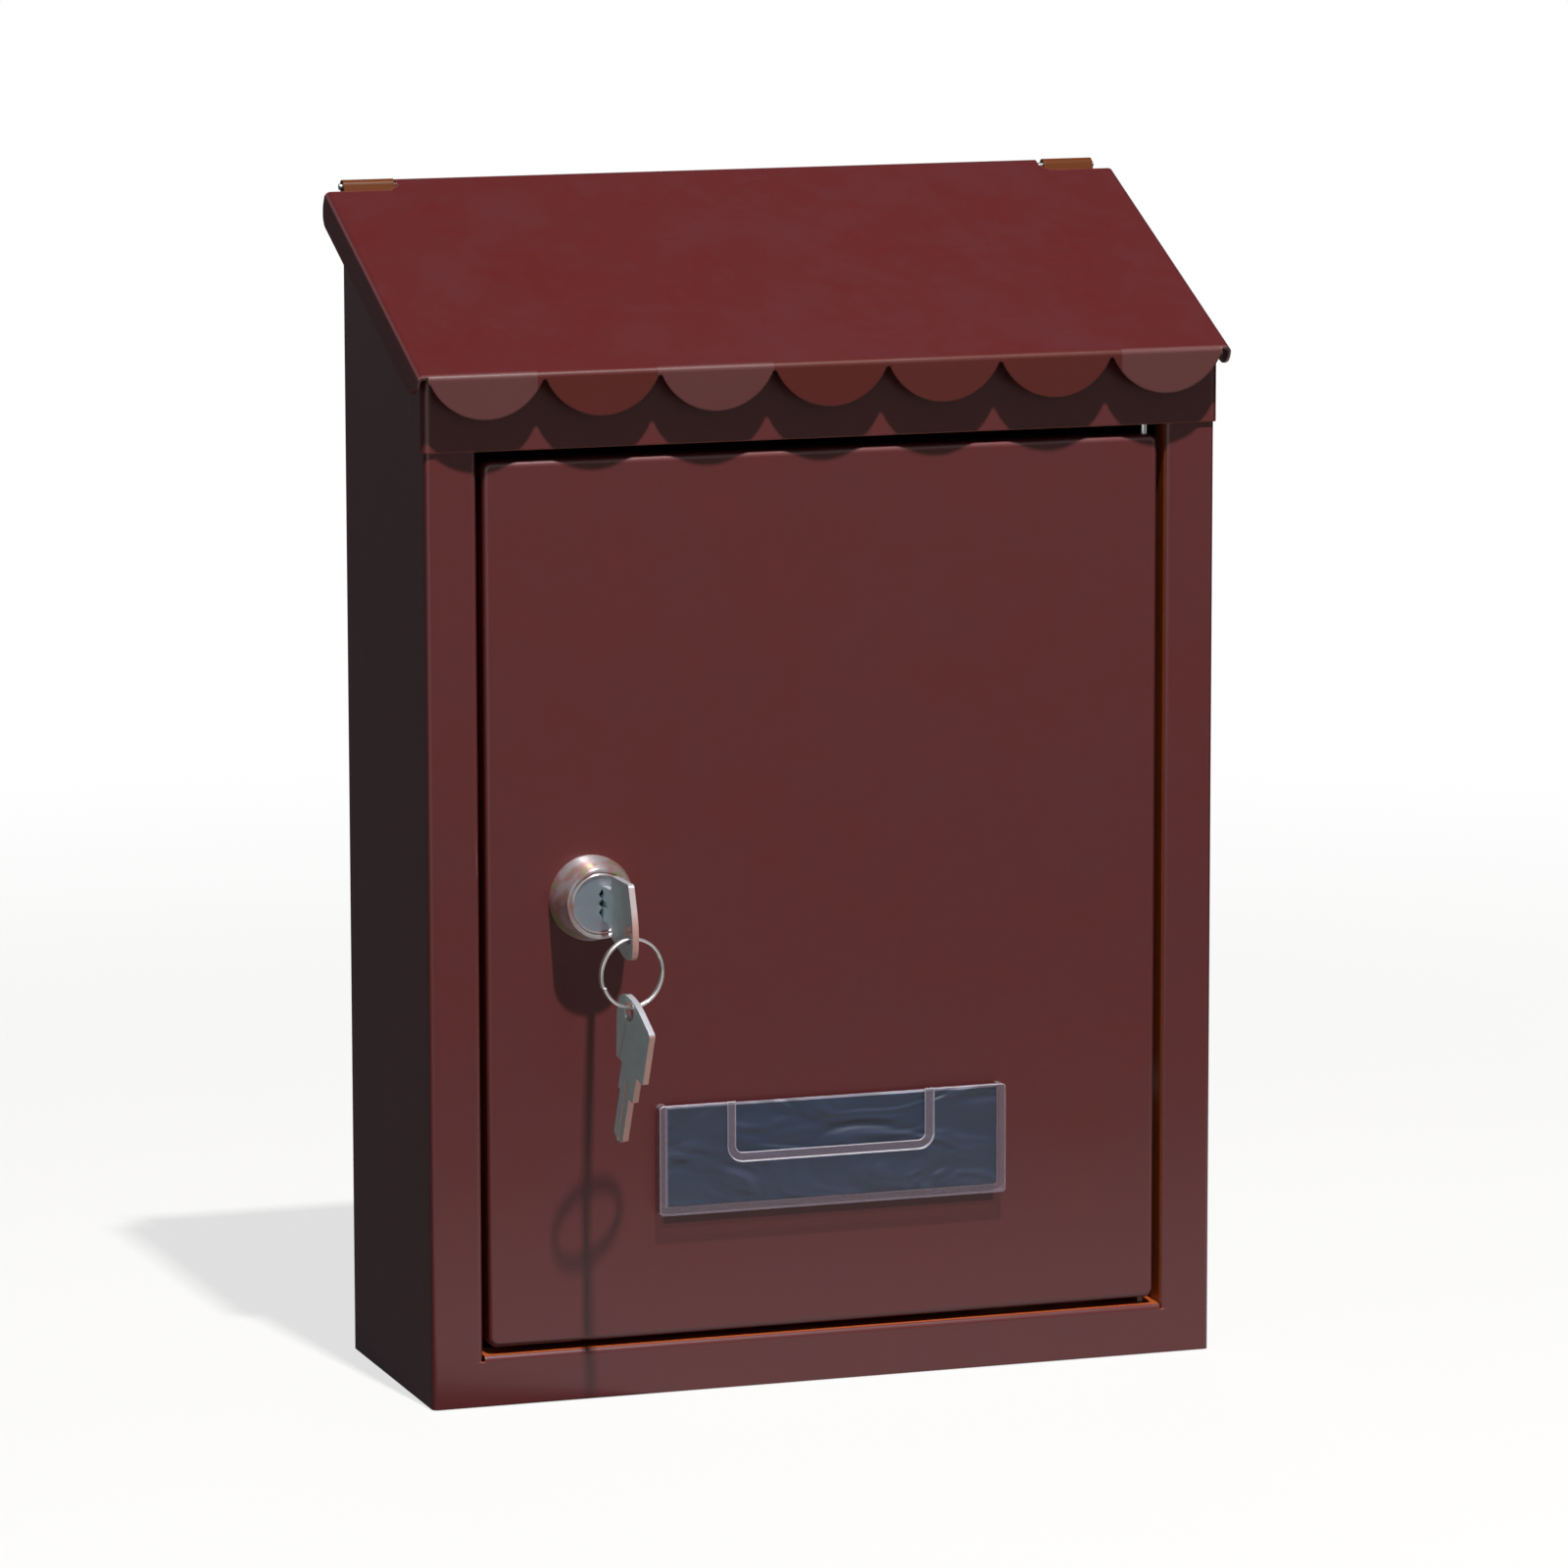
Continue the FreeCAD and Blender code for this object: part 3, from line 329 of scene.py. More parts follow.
def powder_coat(name, wave, deep, cool, paint_light=None, shine=coat_shine, lit_edge_tint=orange_edge_highlight):
    """The maroon coat on sheet that buckles by wave, painted warm orange on its edges as a painted
    highlight. A further function, if given, paints light into its colour in places.

    An edge is where the rounded normal of the Bevel node turns away from the flat one.
    """
    material, tree = new_material(name)
    place = add(tree, "ShaderNodeTexCoord").outputs["Object"]
    tone = add(tree, "ShaderNodeTexNoise", {"Vector": place, "Scale": 1.0 / tone_patch,
                                            "Detail": tone_detail, "Roughness": tone_grain})
    tone_share = add(tree, "ShaderNodeMapRange", {"Value": tone.outputs["Fac"],
                                                  "From Min": tone_from, "From Max": tone_to,
                                                  "To Max": tone_most})
    base = add(tree, "ShaderNodeMix", {0: tone_share.outputs[0], 6: linear(deep),
                                       7: linear(cool)}, data_type="RGBA")
    cells = add(tree, "ShaderNodeTexVoronoi", {"Vector": place, "Scale": 1.0 / nib_pitch})
    nib = add(tree, "ShaderNodeMath", {0: cells.outputs["Distance"], 1: nib_radius / nib_pitch},
              operation="LESS_THAN")
    nib_share = add(tree, "ShaderNodeMath", {0: nib.outputs[0], 1: nib_strength},
                    operation="MULTIPLY")
    specked = add(tree, "ShaderNodeMix", {0: nib_share.outputs[0], 6: base.outputs[2],
                                          7: linear(coat_nib)}, data_type="RGBA")
    rounded = add(tree, "ShaderNodeBevel", {"Radius": edge_reach}, samples=6)
    flat = add(tree, "ShaderNodeNewGeometry").outputs["Normal"]
    likeness = add(tree, "ShaderNodeVectorMath", {0: rounded.outputs[0], 1: flat},
                   operation="DOT_PRODUCT")
    edge = add(tree, "ShaderNodeMapRange", {"Value": likeness.outputs["Value"],
                                            "From Min": edge_flat, "From Max": edge_sharp,
                                            "To Max": edge_most})
    # Painted highlight: the edges are mixed toward a warm orange, the light they catch.
    colour = add(tree, "ShaderNodeMix", {0: edge.outputs[0], 6: specked.outputs[2],
                                         7: linear(lit_edge_tint)}, data_type="RGBA").outputs[2]
    if paint_light:
        colour = paint_light(tree, place, colour)
    sheet_wave = add(tree, "ShaderNodeTexNoise", {"Vector": place, "Scale": 1.0 / wave_pitch,
                                                  "Detail": 0.0})
    bent = add(tree, "ShaderNodeBump", {"Height": sheet_wave.outputs["Fac"], "Distance": wave,
                                        "Strength": 1.0, "Normal": rounded.outputs[0]})
    peel = add(tree, "ShaderNodeTexNoise", {"Vector": place, "Scale": 1.0 / peel_pitch,
                                            "Detail": 1.0})
    skin = add(tree, "ShaderNodeBump", {"Height": peel.outputs["Fac"], "Distance": peel_height,
                                        "Strength": 1.0, "Normal": bent.outputs[0]})
    gloss = add(tree, "ShaderNodeMapRange", {"Value": tone.outputs["Fac"],
                                             "To Min": coat_smooth, "To Max": coat_rough})
    dulled = add(tree, "ShaderNodeMath", {0: edge.outputs[0], 1: edge_dulling,
                                          2: gloss.outputs[0]}, operation="MULTIPLY_ADD")
    shader = add(tree, "ShaderNodeBsdfPrincipled", {
        "Base Color": colour, "Roughness": dulled.outputs[0], "Metallic": 0.0, "IOR": coat_ior,
        "Specular IOR Level": shine, "Normal": skin.outputs[0]})
    add(tree, "ShaderNodeOutputMaterial", {"Surface": shader.outputs[0]})
    return material


def dress(material, *names):
    """Gives CAD nodes their finish."""
    for name in names:
        nodes[name].data.materials.clear()
        nodes[name].data.materials.append(material)


dress(powder_coat("maroon_powder_coat", wave_height, coat_deep, coat_cool), "bottom_panel",
      "front_header")

# Case: one sheet folded into front frame, sides and rear flanges, with the same coat. On the jamb
# round the door opening, behind the front face, the coat is painted orange: painted glints of light
# on the jamb.
door_low, door_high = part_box("door")
door_middle = (door_low + door_high) / 2
door_half = (door_high - door_low) / 2
fold_band = 0.0012
jamb_reach = 2.5 * fold_band
front_skin = 0.0008
jamb_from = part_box("body_shell")[0].y + front_skin


def beyond_rectangle(tree, place, middle, half):
    """How far a point lies outside a rectangle in X and Z, and negative within it.

    It is the larger of |x - middle| - half and |z - middle| - half.
    """
    away = add(tree, "ShaderNodeVectorMath", {0: place, 1: middle}, operation="SUBTRACT")
    reach = add(tree, "ShaderNodeVectorMath", {0: away.outputs[0]}, operation="ABSOLUTE")
    past = add(tree, "ShaderNodeVectorMath", {0: reach.outputs[0], 1: half},
               operation="SUBTRACT")
    parts = add(tree, "ShaderNodeSeparateXYZ", {0: past.outputs[0]})
    return add(tree, "ShaderNodeMath", {0: parts.outputs["X"], 1: parts.outputs["Z"]},
               operation="MAXIMUM").outputs[0]


def painted_glints_round_opening(tree, place, colour):
    """Paints orange glints on a band round the door, behind the case's front face: a painted
    highlight on the jamb.
    """
    outside = beyond_rectangle(tree, place, door_middle, door_half)
    begun = add(tree, "ShaderNodeMapRange", {"Value": outside, "From Min": -fold_band,
                                             "From Max": -fold_band / 2})
    ended = add(tree, "ShaderNodeMath", {0: outside, 1: jamb_reach}, operation="LESS_THAN")
    share = add(tree, "ShaderNodeMath", {0: begun.outputs[0], 1: ended.outputs[0]},
                operation="MULTIPLY")
    depths = add(tree, "ShaderNodeSeparateXYZ", {0: place})
    deep_in = add(tree, "ShaderNodeMath", {0: depths.outputs["Y"], 1: jamb_from},
                  operation="GREATER_THAN")
    share = add(tree, "ShaderNodeMath", {0: share.outputs[0], 1: deep_in.outputs[0]},
                operation="MULTIPLY")
    return add(tree, "ShaderNodeMix", {0: share.outputs[0], 6: colour, 7: linear(orange_edge_highlight)},
               data_type="RGBA").outputs[2]


dress(powder_coat("maroon_powder_coat_on_case", wave_height, coat_deep, coat_cool,
                  painted_glints_round_opening), "body_shell")

# Door and its lower pin: a pressed pan of the same sheet with rounder edges, whose painted edge
# highlight is a duller brown than the case's. The pin is fixed in the case before the spray and is
# coated too.
door_edge_highlight = "#803A1C"
dress(powder_coat("maroon_powder_coat_on_door", wave_height, coat_deep, coat_cool,
                  lit_edge_tint=door_edge_highlight), "door", "door_pin_bottom")

# Lid: one sheet folded down on four sides, its coat painted deeper than the rest, a painted shade
# that offsets the stronger light on the slope. Its scallops were snipped and folded by hand, so each
# lies a little differently, and their tones are painted reflection and shade: some greyish, others a
# deeper red.
lid_low, lid_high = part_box("lid")
scallop_wave = 0.00045
# Painted shade: the lid's coat colours are deeper than the case's, offsetting the stronger key light
# on the slope.
lid_shaded_deep = "#521514"
lid_shaded_cool = "#4F2024"
scallop_painted_pale = "#613938"
scallop_painted_red = "#541C15"
scallop_painted_greys = (1.0, 0.05, 0.85, 0.0, 0.10, 0.05, 1.0)
scallop_painted_strength = 0.85
hanging_depth = 0.0010


def scallops_painted_light(tree, place, colour):
    """Gives each scallop, counted along X on the sheet that hangs in front, its share of grey:
    painted reflection against painted red shade.
    """
    parts = add(tree, "ShaderNodeSeparateXYZ", {0: place})
    along = add(tree, "ShaderNodeMapRange", {"Value": parts.outputs["X"], "From Min": lid_low.x,
                                             "From Max": lid_high.x})
    steps = add(tree, "ShaderNodeValToRGB", {0: along.outputs[0]})
    steps.color_ramp.interpolation = "CONSTANT"
    stops = steps.color_ramp.elements
    for count, grey in enumerate(scallop_painted_greys):
        spot = count / len(scallop_painted_greys)
        stop = stops[count] if count < 2 else stops.new(spot)
        stop.position = spot
        stop.color = (grey, grey, grey, 1.0)
    tone = add(tree, "ShaderNodeMix", {0: steps.outputs[0], 6: linear(scallop_painted_red),
                                       7: linear(scallop_painted_pale)}, data_type="RGBA")
    hanging = add(tree, "ShaderNodeMath", {0: parts.outputs["Y"], 1: lid_low.y + hanging_depth},
                  operation="LESS_THAN")
    share = add(tree, "ShaderNodeMath", {0: hanging.outputs[0], 1: scallop_painted_strength},
                operation="MULTIPLY")
    return add(tree, "ShaderNodeMix", {0: share.outputs[0], 6: colour, 7: tone.outputs[2]},
               data_type="RGBA").outputs[2]


dress(powder_coat("maroon_powder_coat_shaded_on_lid", scallop_wave, lid_shaded_deep, lid_shaded_cool,
                  scallops_painted_light), "lid")

# Back panel: a thicker sheet with the same coat. Where the two tongues at its top are rolled into
# hinge barrels it is painted coppery, a painted highlight: the light the round barrels catch.
roll_painted_highlight = "#5E2F10"
roll_shine = 0.2
roll_height = 0.004
roll_blend = 0.001
roll_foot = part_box("back_panel")[1].z - roll_height


def painted_highlight_on_rolls(tree, place, colour):
    """Paints the coppery highlight above the foot of the barrels."""
    height = add(tree, "ShaderNodeSeparateXYZ", {0: place})
    over = add(tree, "ShaderNodeMapRange", {"Value": height.outputs["Z"],
                                            "From Min": roll_foot - roll_blend,
                                            "From Max": roll_foot})
    return add(tree, "ShaderNodeMix", {0: over.outputs[0], 6: colour, 7: linear(roll_painted_highlight)},
               data_type="RGBA").outputs[2]


dress(powder_coat("maroon_powder_coat_lit_on_rolls", wave_height, coat_deep, coat_cool,
                  painted_highlight_on_rolls, roll_shine), "back_panel")

# Hinge wire and upper door pin: drawn steel, galvanised or zinc plated, so dull silver with soft
# grey blotches a few millimetres wide. Both are pushed in after the spray and stay bare.
wire_light, wire_dark = "#C9CACA", "#8E9193"
wire_smooth, wire_rough = 0.28, 0.42
pin_light, pin_dark = "#D5D6D8", "#A9ABAE"
pin_smooth, pin_rough = 0.18, 0.30
blotch = 0.003
blotch_detail = 3.0
blotch_from, blotch_to = 0.3, 0.7
grains_per_blotch = 12.0
grain_height = 0.000004
plated_edge = 0.0002


def plated_metal(name, light, dark, patch, smooth, rough):
    """Metal whose tone and gloss vary together in soft patches."""
    material, tree = new_material(name)
    place = add(tree, "ShaderNodeTexCoord").outputs["Object"]
    cloud = add(tree, "ShaderNodeTexNoise", {"Vector": place, "Scale": 1.0 / patch,
                                             "Detail": blotch_detail})
    colour = add(tree, "ShaderNodeMix", {0: cloud.outputs["Fac"], 6: linear(light),
                                         7: linear(dark)}, data_type="RGBA")
    gloss = add(tree, "ShaderNodeMapRange", {"Value": cloud.outputs["Fac"],
                                             "From Min": blotch_from, "From Max": blotch_to,
                                             "To Min": smooth, "To Max": rough})
    grain = add(tree, "ShaderNodeTexNoise", {"Vector": place, "Scale": grains_per_blotch / patch,
                                             "Detail": 2.0})
    rounded = add(tree, "ShaderNodeBevel", {"Radius": plated_edge}, samples=4)
    bump = add(tree, "ShaderNodeBump", {"Height": grain.outputs["Fac"],
                                        "Distance": grain_height, "Strength": 1.0,
                                        "Normal": rounded.outputs[0]})
    shader = add(tree, "ShaderNodeBsdfPrincipled", {
        "Base Color": colour.outputs[2], "Roughness": gloss.outputs[0], "Metallic": 1.0,
        "Normal": bump.outputs[0]})
    add(tree, "ShaderNodeOutputMaterial", {"Surface": shader.outputs[0]})
    return material


dress(plated_metal("galvanised_steel_wire", wire_light, wire_dark, blotch, wire_smooth,
                   wire_rough), "lid_hinge_wire")
dress(plated_metal("zinc_plated_pin", pin_light, pin_dark, blotch, pin_smooth, pin_rough),
      "door_pin_top")

# Lock body: a zinc casting, turned and thinly chromed, so fine grooves run round it that draw its
# glints out lengthwise. Its rose and green noise patches are painted reflection: rose as of the
# maroon door, green as of the sky.
chrome_silver, rose_reflection_tint, green_reflection_tint = "#C6C0C2", "#C49A98", "#9DB782"
chrome_roughness = 0.34
chrome_metal = 0.75
chrome_stretch = 0.8
quarter_turn = 0.25
chrome_edge = 0.0003
film_patch = 0.005
rose_from, rose_to = 0.44, 0.56
green_from, green_to = 0.57, 0.63
green_most = 0.8

material, tree = new_material("thin_chrome_on_zinc")
place = add(tree, "ShaderNodeTexCoord").outputs["Object"]
film = add(tree, "ShaderNodeTexNoise", {"Vector": place, "Scale": 1.0 / film_patch,
                                        "Detail": 3.0})
rose = add(tree, "ShaderNodeMapRange", {"Value": film.outputs["Fac"], "From Min": rose_from,
                                        "From Max": rose_to})
tint = add(tree, "ShaderNodeMix", {0: rose.outputs[0], 6: linear(chrome_silver),
                                   7: linear(rose_reflection_tint)}, data_type="RGBA")
green = add(tree, "ShaderNodeMapRange", {"Value": film.outputs["Fac"], "From Min": green_from,
                                         "From Max": green_to, "To Max": green_most})
tint = add(tree, "ShaderNodeMix", {0: green.outputs[0], 6: tint.outputs[2],
                                   7: linear(green_reflection_tint)}, data_type="RGBA")
rounded = add(tree, "ShaderNodeBevel", {"Radius": chrome_edge}, samples=6)
turned = add(tree, "ShaderNodeTangent", direction_type="RADIAL", axis="Y")
shader = add(tree, "ShaderNodeBsdfPrincipled", {
    "Base Color": tint.outputs[2], "Roughness": chrome_roughness, "Metallic": chrome_metal,
    "Normal": rounded.outputs[0], "Anisotropic": chrome_stretch,
    "Anisotropic Rotation": quarter_turn, "Tangent": turned.outputs[0]})
add(tree, "ShaderNodeOutputMaterial", {"Surface": shader.outputs[0]})
dress(material, "lock_body")

# Plug: the turning core of the lock, a zinc casting whose face was cut on a lathe, so fine rings run
# round its axis. At a scale of 1 the wave texture repeats every wave_period metres.
lock_low, lock_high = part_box("lock_body")
plate_low, plate_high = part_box("lock_stop_plate")
lock_axis = Vector(((lock_low.x + lock_high.x) / 2, 0.0, (plate_low.z + plate_high.z) / 2))
wave_period = 0.05 * math.tau
face_ring = 0.00022
face_wander = 0.6
face_depth = 0.000006
face_strength = 0.6
plug_zinc = "#B6BCC8"
plug_roughness = 0.3
plug_metal = 0.85
plug_edge = 0.0002

material, tree = new_material("faced_zinc")
place = add(tree, "ShaderNodeTexCoord").outputs["Object"]
centred = add(tree, "ShaderNodeMapping", {"Vector": place, "Location": -lock_axis})
rings = add(tree, "ShaderNodeTexWave", {"Vector": centred.outputs[0],
                                        "Scale": wave_period / face_ring,
                                        "Distortion": face_wander, "Detail": 1.0},
            wave_type="RINGS", rings_direction="Y")
rounded = add(tree, "ShaderNodeBevel", {"Radius": plug_edge}, samples=4)
faced = add(tree, "ShaderNodeBump", {"Height": rings.outputs["Fac"], "Distance": face_depth,
                                     "Strength": face_strength, "Normal": rounded.outputs[0]})
shader = add(tree, "ShaderNodeBsdfPrincipled", {
    "Base Color": linear(plug_zinc), "Roughness": plug_roughness, "Metallic": plug_metal,
    "Normal": faced.outputs[0]})
add(tree, "ShaderNodeOutputMaterial", {"Surface": shader.outputs[0]})
dress(material, "lock_plug")

# Nut, stop plate, cam, washer and screw behind the door: stamped steel, zinc plated and
# passivated, so a cool silver with a faint straw tint.
zinc_cool, zinc_straw = "#C8CACC", "#A8A596"
zinc_smooth, zinc_rough = 0.30, 0.45
zinc_cloud = 0.006
dress(plated_metal("zinc_plated_steel", zinc_cool, zinc_straw, zinc_cloud, zinc_smooth,
                   zinc_rough),
      "lock_nut", "lock_stop_plate", "lock_cam", "lock_cam_washer", "lock_cam_screw")

# Keys: stamped brass, nickel plated and tumbled, with hair scratches that run along them. Their
# colours are painted reflection, set by which way a face turns in the key's own frame: the flat
# faces bluish as of the sky, the rims warm where they face down and grey where they face up.
face_light, face_dark = "#D3EBEA", "#B2CFD2"
rim_lower_reflection, rim_upper_reflection = "#C69A90", "#A8A6AC"
rim_turn = 0.5
top_from, top_to = 0.15, 0.45
key_cloud = 0.004545
hair_pitch = 0.0001923
hair_stretch = 0.12
hair_depth = 0.000004
hair_strength = 0.7
key_smooth, key_rough = 0.42, 0.55
key_metal = 0.35
key_edge = 0.00035

material, tree = new_material("tumbled_nickel")
place = add(tree, "ShaderNodeTexCoord").outputs["Object"]
drawn = add(tree, "ShaderNodeMapping", {"Vector": place, "Scale": (1.0, 1.0, hair_stretch)})
hair = add(tree, "ShaderNodeTexNoise", {"Vector": drawn.outputs[0], "Scale": 1.0 / hair_pitch,
                                        "Detail": 2.0})
cloud = add(tree, "ShaderNodeTexNoise", {"Vector": place, "Scale": 1.0 / key_cloud,
                                         "Detail": 2.0})
flat = add(tree, "ShaderNodeNewGeometry").outputs["Normal"]
own = add(tree, "ShaderNodeVectorTransform", {0: flat}, vector_type="NORMAL",
          convert_from="WORLD", convert_to="OBJECT")
facing = add(tree, "ShaderNodeSeparateXYZ", {0: own.outputs[0]})
sideways = add(tree, "ShaderNodeMath", {0: facing.outputs["X"]}, operation="ABSOLUTE")
on_rim = add(tree, "ShaderNodeMath", {0: sideways.outputs[0], 1: rim_turn},
             operation="LESS_THAN")
faces = add(tree, "ShaderNodeMix", {0: cloud.outputs["Fac"], 6: linear(face_light),
                                    7: linear(face_dark)}, data_type="RGBA")
# Painted reflection: rims facing up take the grey tone, rims facing down the warm one.
upward = add(tree, "ShaderNodeMapRange", {"Value": facing.outputs["Z"], "From Min": top_from,
                                          "From Max": top_to})
rims = add(tree, "ShaderNodeMix", {0: upward.outputs[0], 6: linear(rim_lower_reflection),
                                   7: linear(rim_upper_reflection)}, data_type="RGBA")
colour = add(tree, "ShaderNodeMix", {0: on_rim.outputs[0], 6: faces.outputs[2],
                                     7: rims.outputs[2]}, data_type="RGBA")
rounded = add(tree, "ShaderNodeBevel", {"Radius": key_edge}, samples=6)
brushed = add(tree, "ShaderNodeBump", {"Height": hair.outputs["Fac"], "Distance": hair_depth,
                                       "Strength": hair_strength, "Normal": rounded.outputs[0]})
gloss = add(tree, "ShaderNodeMapRange", {"Value": cloud.outputs["Fac"], "To Min": key_smooth,
                                         "To Max": key_rough})
shader = add(tree, "ShaderNodeBsdfPrincipled", {
    "Base Color": colour.outputs[2], "Roughness": gloss.outputs[0], "Metallic": key_metal,
    "Normal": brushed.outputs[0]})
add(tree, "ShaderNodeOutputMaterial", {"Surface": shader.outputs[0]})
dress(material, "lock_key", "spare_key")

# Split ring: hardened steel wire, nickel plated and wound in two close turns. The wire ends show at
# the left, one on each side. The CAD has one closed ring of a wider blank in its place.
ring_wire = 0.0009
ring_pitch = 0.0012
blank_width = 0.00105
ring_steps = 288
ring_sides = 12
wire_end_angle = math.radians(200.0)
nickel_light, nickel_dark = "#E2DDDA", "#BDB8B8"
nickel_smooth, nickel_rough = 0.30, 0.42
nickel_cloud = 0.004


def tube_mesh(name, centres, radius, sides):
    """Round bar along a path. Its ring k is centre k + radius (cos t, sin t) across the path.

    Here t = 2 pi j / sides, and the cross axes come from the path's tangent and from the normal
    of the plane that fits the path best.
    """
    tangents = np.gradient(centres, axis=0)
    tangents /= np.linalg.norm(tangents, axis=1, keepdims=True)
    centred = centres - centres.mean(axis=0)
    plane_normal = np.linalg.svd(centred, full_matrices=False)[2][2]
    across = np.cross(tangents, plane_normal)
    across /= np.linalg.norm(across, axis=1, keepdims=True)
    second = np.cross(tangents, across)
    turn = np.linspace(0.0, math.tau, sides, endpoint=False)
    points = (centres[:, None, :] + radius * (np.cos(turn)[None, :, None] * across[:, None, :]
                                              + np.sin(turn)[None, :, None] * second[:, None, :]))
    count = len(centres)
    faces = [(k * sides + j, k * sides + (j + 1) % sides, (k + 1) * sides + (j + 1) % sides,
              (k + 1) * sides + j) for k in range(count - 1) for j in range(sides)]
    faces.append(tuple(range(sides - 1, -1, -1)))
    faces.append(tuple(range((count - 1) * sides, count * sides)))
    mesh = bpy.data.meshes.new(name)
    mesh.from_pydata(points.reshape(-1, 3).tolist(), [], faces)
    mesh.polygons.foreach_set("use_smooth", [True] * (len(faces) - 2) + [False, False])
    return mesh


ring_low, ring_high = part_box("key_ring")
ring_centre = (np.array(ring_low) + np.array(ring_high)) / 2
ring_radius = (ring_high.z - ring_low.z) / 2 - ring_wire / 2
ring_yaw = math.atan2(ring_high.y - ring_low.y - blank_width, ring_high.x - ring_low.x)
around = np.linspace(0.0, 2 * math.tau, ring_steps + 1)
depth = (around / (2 * math.tau) - 0.5) * ring_pitch
flat_x = ring_radius * np.cos(around + wire_end_angle)
ring_path = np.column_stack([
    ring_centre[0] + flat_x * math.cos(ring_yaw) - depth * math.sin(ring_yaw),
    ring_centre[1] + flat_x * math.sin(ring_yaw) + depth * math.cos(ring_yaw),
    ring_centre[2] + ring_radius * np.sin(around + wire_end_angle),
])
ring_mesh = tube_mesh("split_ring", ring_path, ring_wire / 2, ring_sides)
ring_mesh.materials.append(plated_metal("nickel_plated_spring_steel", nickel_light, nickel_dark,
                                        nickel_cloud, nickel_smooth, nickel_rough))
split_ring = bpy.data.objects.new("split_ring", ring_mesh)
bpy.context.scene.collection.objects.link(split_ring)
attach(split_ring, "ring")
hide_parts("key_ring")

# Name holder: clear polystyrene, moulded in one shot, glassy with faint flow waves. Round the card,
# where the eye looks into the depth of its walls, and on the step round the notch it is milky. Its
# shadow stays weak, as the light runs on through the plastic.
card_low, card_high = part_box("name_card")
card_middle = (card_low + card_high) / 2
card_half = (card_high - card_low) / 2
holder_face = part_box("name_holder")[0].y
step_starts, step_ends = 0.0003, 0.0007
step_from = holder_face + step_starts
step_to = holder_face + step_ends
plastic_clear = "#FAFBFE"
plastic_milk = "#94828E"
plastic_lit_edge = "#EEEAF0"
plastic_ior = 1.49
plastic_gloss = 0.12
pale_coat_roughness = 0.35
milk_most = 0.42
lit_edge_most = 0.95
edge_mask_flat, edge_mask_sharp = 0.97, 0.80
holder_edge = 0.00045
flow_patch = 0.01111
flow_height = 0.00002
mirror_head_on = 0.038
mirror_rise = 5.0
shadow_passed = 0.6

material, tree = new_material("clear_polystyrene")
place = add(tree, "ShaderNodeTexCoord").outputs["Object"]
flow = add(tree, "ShaderNodeTexNoise", {"Vector": place, "Scale": 1.0 / flow_patch,
                                        "Detail": 1.0})
rounded = add(tree, "ShaderNodeBevel", {"Radius": holder_edge}, samples=6)
waved = add(tree, "ShaderNodeBump", {"Height": flow.outputs["Fac"], "Distance": flow_height,
                                     "Strength": 1.0, "Normal": rounded.outputs[0]})
flat = add(tree, "ShaderNodeNewGeometry").outputs["Normal"]
likeness = add(tree, "ShaderNodeVectorMath", {0: rounded.outputs[0], 1: flat},
               operation="DOT_PRODUCT")
lit_edge_share = add(tree, "ShaderNodeMapRange", {"Value": likeness.outputs["Value"],
                                           "From Min": edge_mask_flat, "From Max": edge_mask_sharp,
                                           "To Max": lit_edge_most})
round_card = beyond_rectangle(tree, place, card_middle, card_half)
in_wall = add(tree, "ShaderNodeMath", {0: round_card, 1: 0.0}, operation="GREATER_THAN")
depths = add(tree, "ShaderNodeSeparateXYZ", {0: place})
past_face = add(tree, "ShaderNodeMath", {0: depths.outputs["Y"], 1: step_from},
                operation="GREATER_THAN")
before_floor = add(tree, "ShaderNodeMath", {0: depths.outputs["Y"], 1: step_to},
                   operation="LESS_THAN")
on_step = add(tree, "ShaderNodeMath", {0: past_face.outputs[0], 1: before_floor.outputs[0]},
              operation="MULTIPLY")
thick = add(tree, "ShaderNodeMath", {0: in_wall.outputs[0], 1: on_step.outputs[0]},
            operation="MAXIMUM")
milk_share = add(tree, "ShaderNodeMath", {0: thick.outputs[0], 1: milk_most},
                 operation="MULTIPLY")
through = add(tree, "ShaderNodeBsdfTransparent", {"Color": linear(plastic_clear)})
surface = add(tree, "ShaderNodeBsdfAnisotropic", {"Color": white, "Roughness": plastic_gloss,
                                                  "Normal": waved.outputs[0]})
grazing = add(tree, "ShaderNodeLayerWeight", {"Blend": 0.5, "Normal": waved.outputs[0]})
slant = add(tree, "ShaderNodeMath", {0: grazing.outputs["Facing"], 1: mirror_rise},
            operation="POWER")
mirrored = add(tree, "ShaderNodeMapRange", {"Value": slant.outputs[0],
                                            "To Min": mirror_head_on})
glassy = add(tree, "ShaderNodeMixShader", {0: mirrored.outputs[0], 1: through.outputs[0],
                                           2: surface.outputs[0]})
milk = add(tree, "ShaderNodeBsdfPrincipled", {
    "Base Color": linear(plastic_milk), "Roughness": pale_coat_roughness, "IOR": plastic_ior,
    "Normal": rounded.outputs[0]})
milky = add(tree, "ShaderNodeMixShader", {0: milk_share.outputs[0], 1: glassy.outputs[0],
                                          2: milk.outputs[0]})
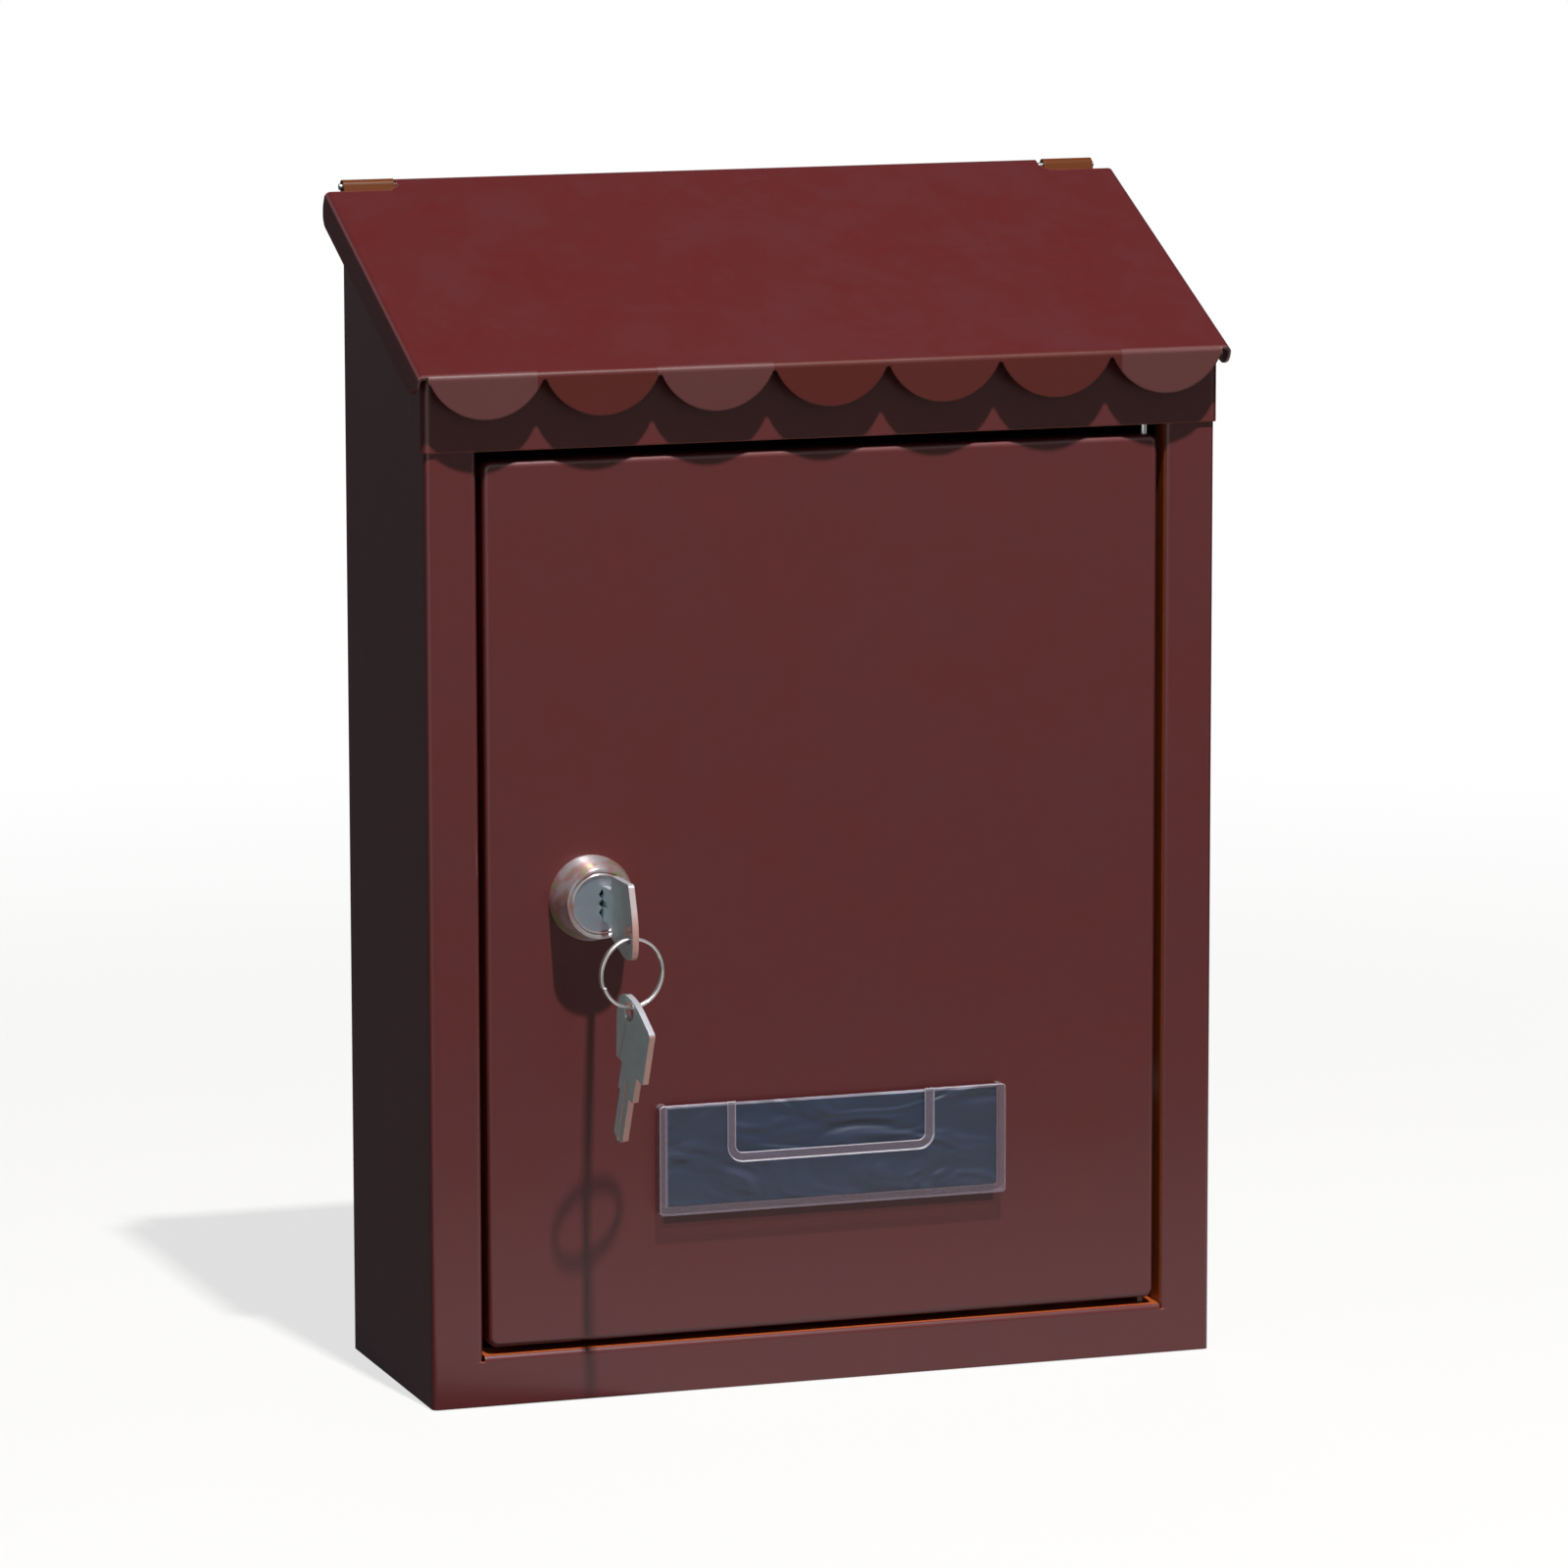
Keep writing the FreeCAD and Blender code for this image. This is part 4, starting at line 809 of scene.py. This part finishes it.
# Painted highlight: the edges get a pale diffuse coat, the light they catch.
lit_edge_coat = add(tree, "ShaderNodeBsdfPrincipled", {
    "Base Color": linear(plastic_lit_edge), "Roughness": pale_coat_roughness, "IOR": plastic_ior,
    "Normal": rounded.outputs[0]})
holder_mix = add(tree, "ShaderNodeMixShader", {0: lit_edge_share.outputs[0], 1: milky.outputs[0],
                                               2: lit_edge_coat.outputs[0]})
path = add(tree, "ShaderNodeLightPath")
shadow_share = add(tree, "ShaderNodeMath", {0: path.outputs["Is Shadow Ray"], 1: shadow_passed},
                   operation="MULTIPLY")
clear = add(tree, "ShaderNodeMixShader", {0: shadow_share.outputs[0], 1: holder_mix.outputs[0],
                                          2: through.outputs[0]})
add(tree, "ShaderNodeOutputMaterial", {"Surface": clear.outputs[0]})
dress(material, "name_holder")

# Card: slate blue board, cut to the pocket of the holder, under a thin loose film whose soft creases
# catch the light. A pale band along its upper edge is painted light: the light that falls in at the
# top of the pocket.
board_dark, board_light = "#262F41", "#363F53"
top_edge_painted_light = "#A5A2B0"
lit_top_band = 0.0006
lit_top_from = card_high.z - lit_top_band
film_roughness = 0.42
film_ior = 1.45
crease_patch = 0.01818
crease_stretch = (0.6, 1.0, 1.5)
crease_bend = 2.2
crease_height = 0.0022

material, tree = new_material("slate_board_under_film")
place = add(tree, "ShaderNodeTexCoord").outputs["Object"]
stretched = add(tree, "ShaderNodeMapping", {"Vector": place, "Scale": crease_stretch})
crease = add(tree, "ShaderNodeTexNoise", {"Vector": stretched.outputs[0],
                                          "Scale": 1.0 / crease_patch, "Detail": 1.0,
                                          "Distortion": crease_bend})
crumple = add(tree, "ShaderNodeBump", {"Height": crease.outputs["Fac"],
                                       "Distance": crease_height, "Strength": 1.0})
board = add(tree, "ShaderNodeMix", {0: crease.outputs["Fac"], 6: linear(board_dark),
                                    7: linear(board_light)}, data_type="RGBA")
heights = add(tree, "ShaderNodeSeparateXYZ", {0: place})
on_lit_top = add(tree, "ShaderNodeMath", {0: heights.outputs["Z"], 1: lit_top_from},
              operation="GREATER_THAN")
colour = add(tree, "ShaderNodeMix", {0: on_lit_top.outputs[0], 6: board.outputs[2],
                                     7: linear(top_edge_painted_light)}, data_type="RGBA")
shader = add(tree, "ShaderNodeBsdfPrincipled", {
    "Base Color": colour.outputs[2], "Roughness": film_roughness, "IOR": film_ior,
    "Normal": crumple.outputs[0]})
add(tree, "ShaderNodeOutputMaterial", {"Surface": shader.outputs[0]})
dress(material, "name_card")
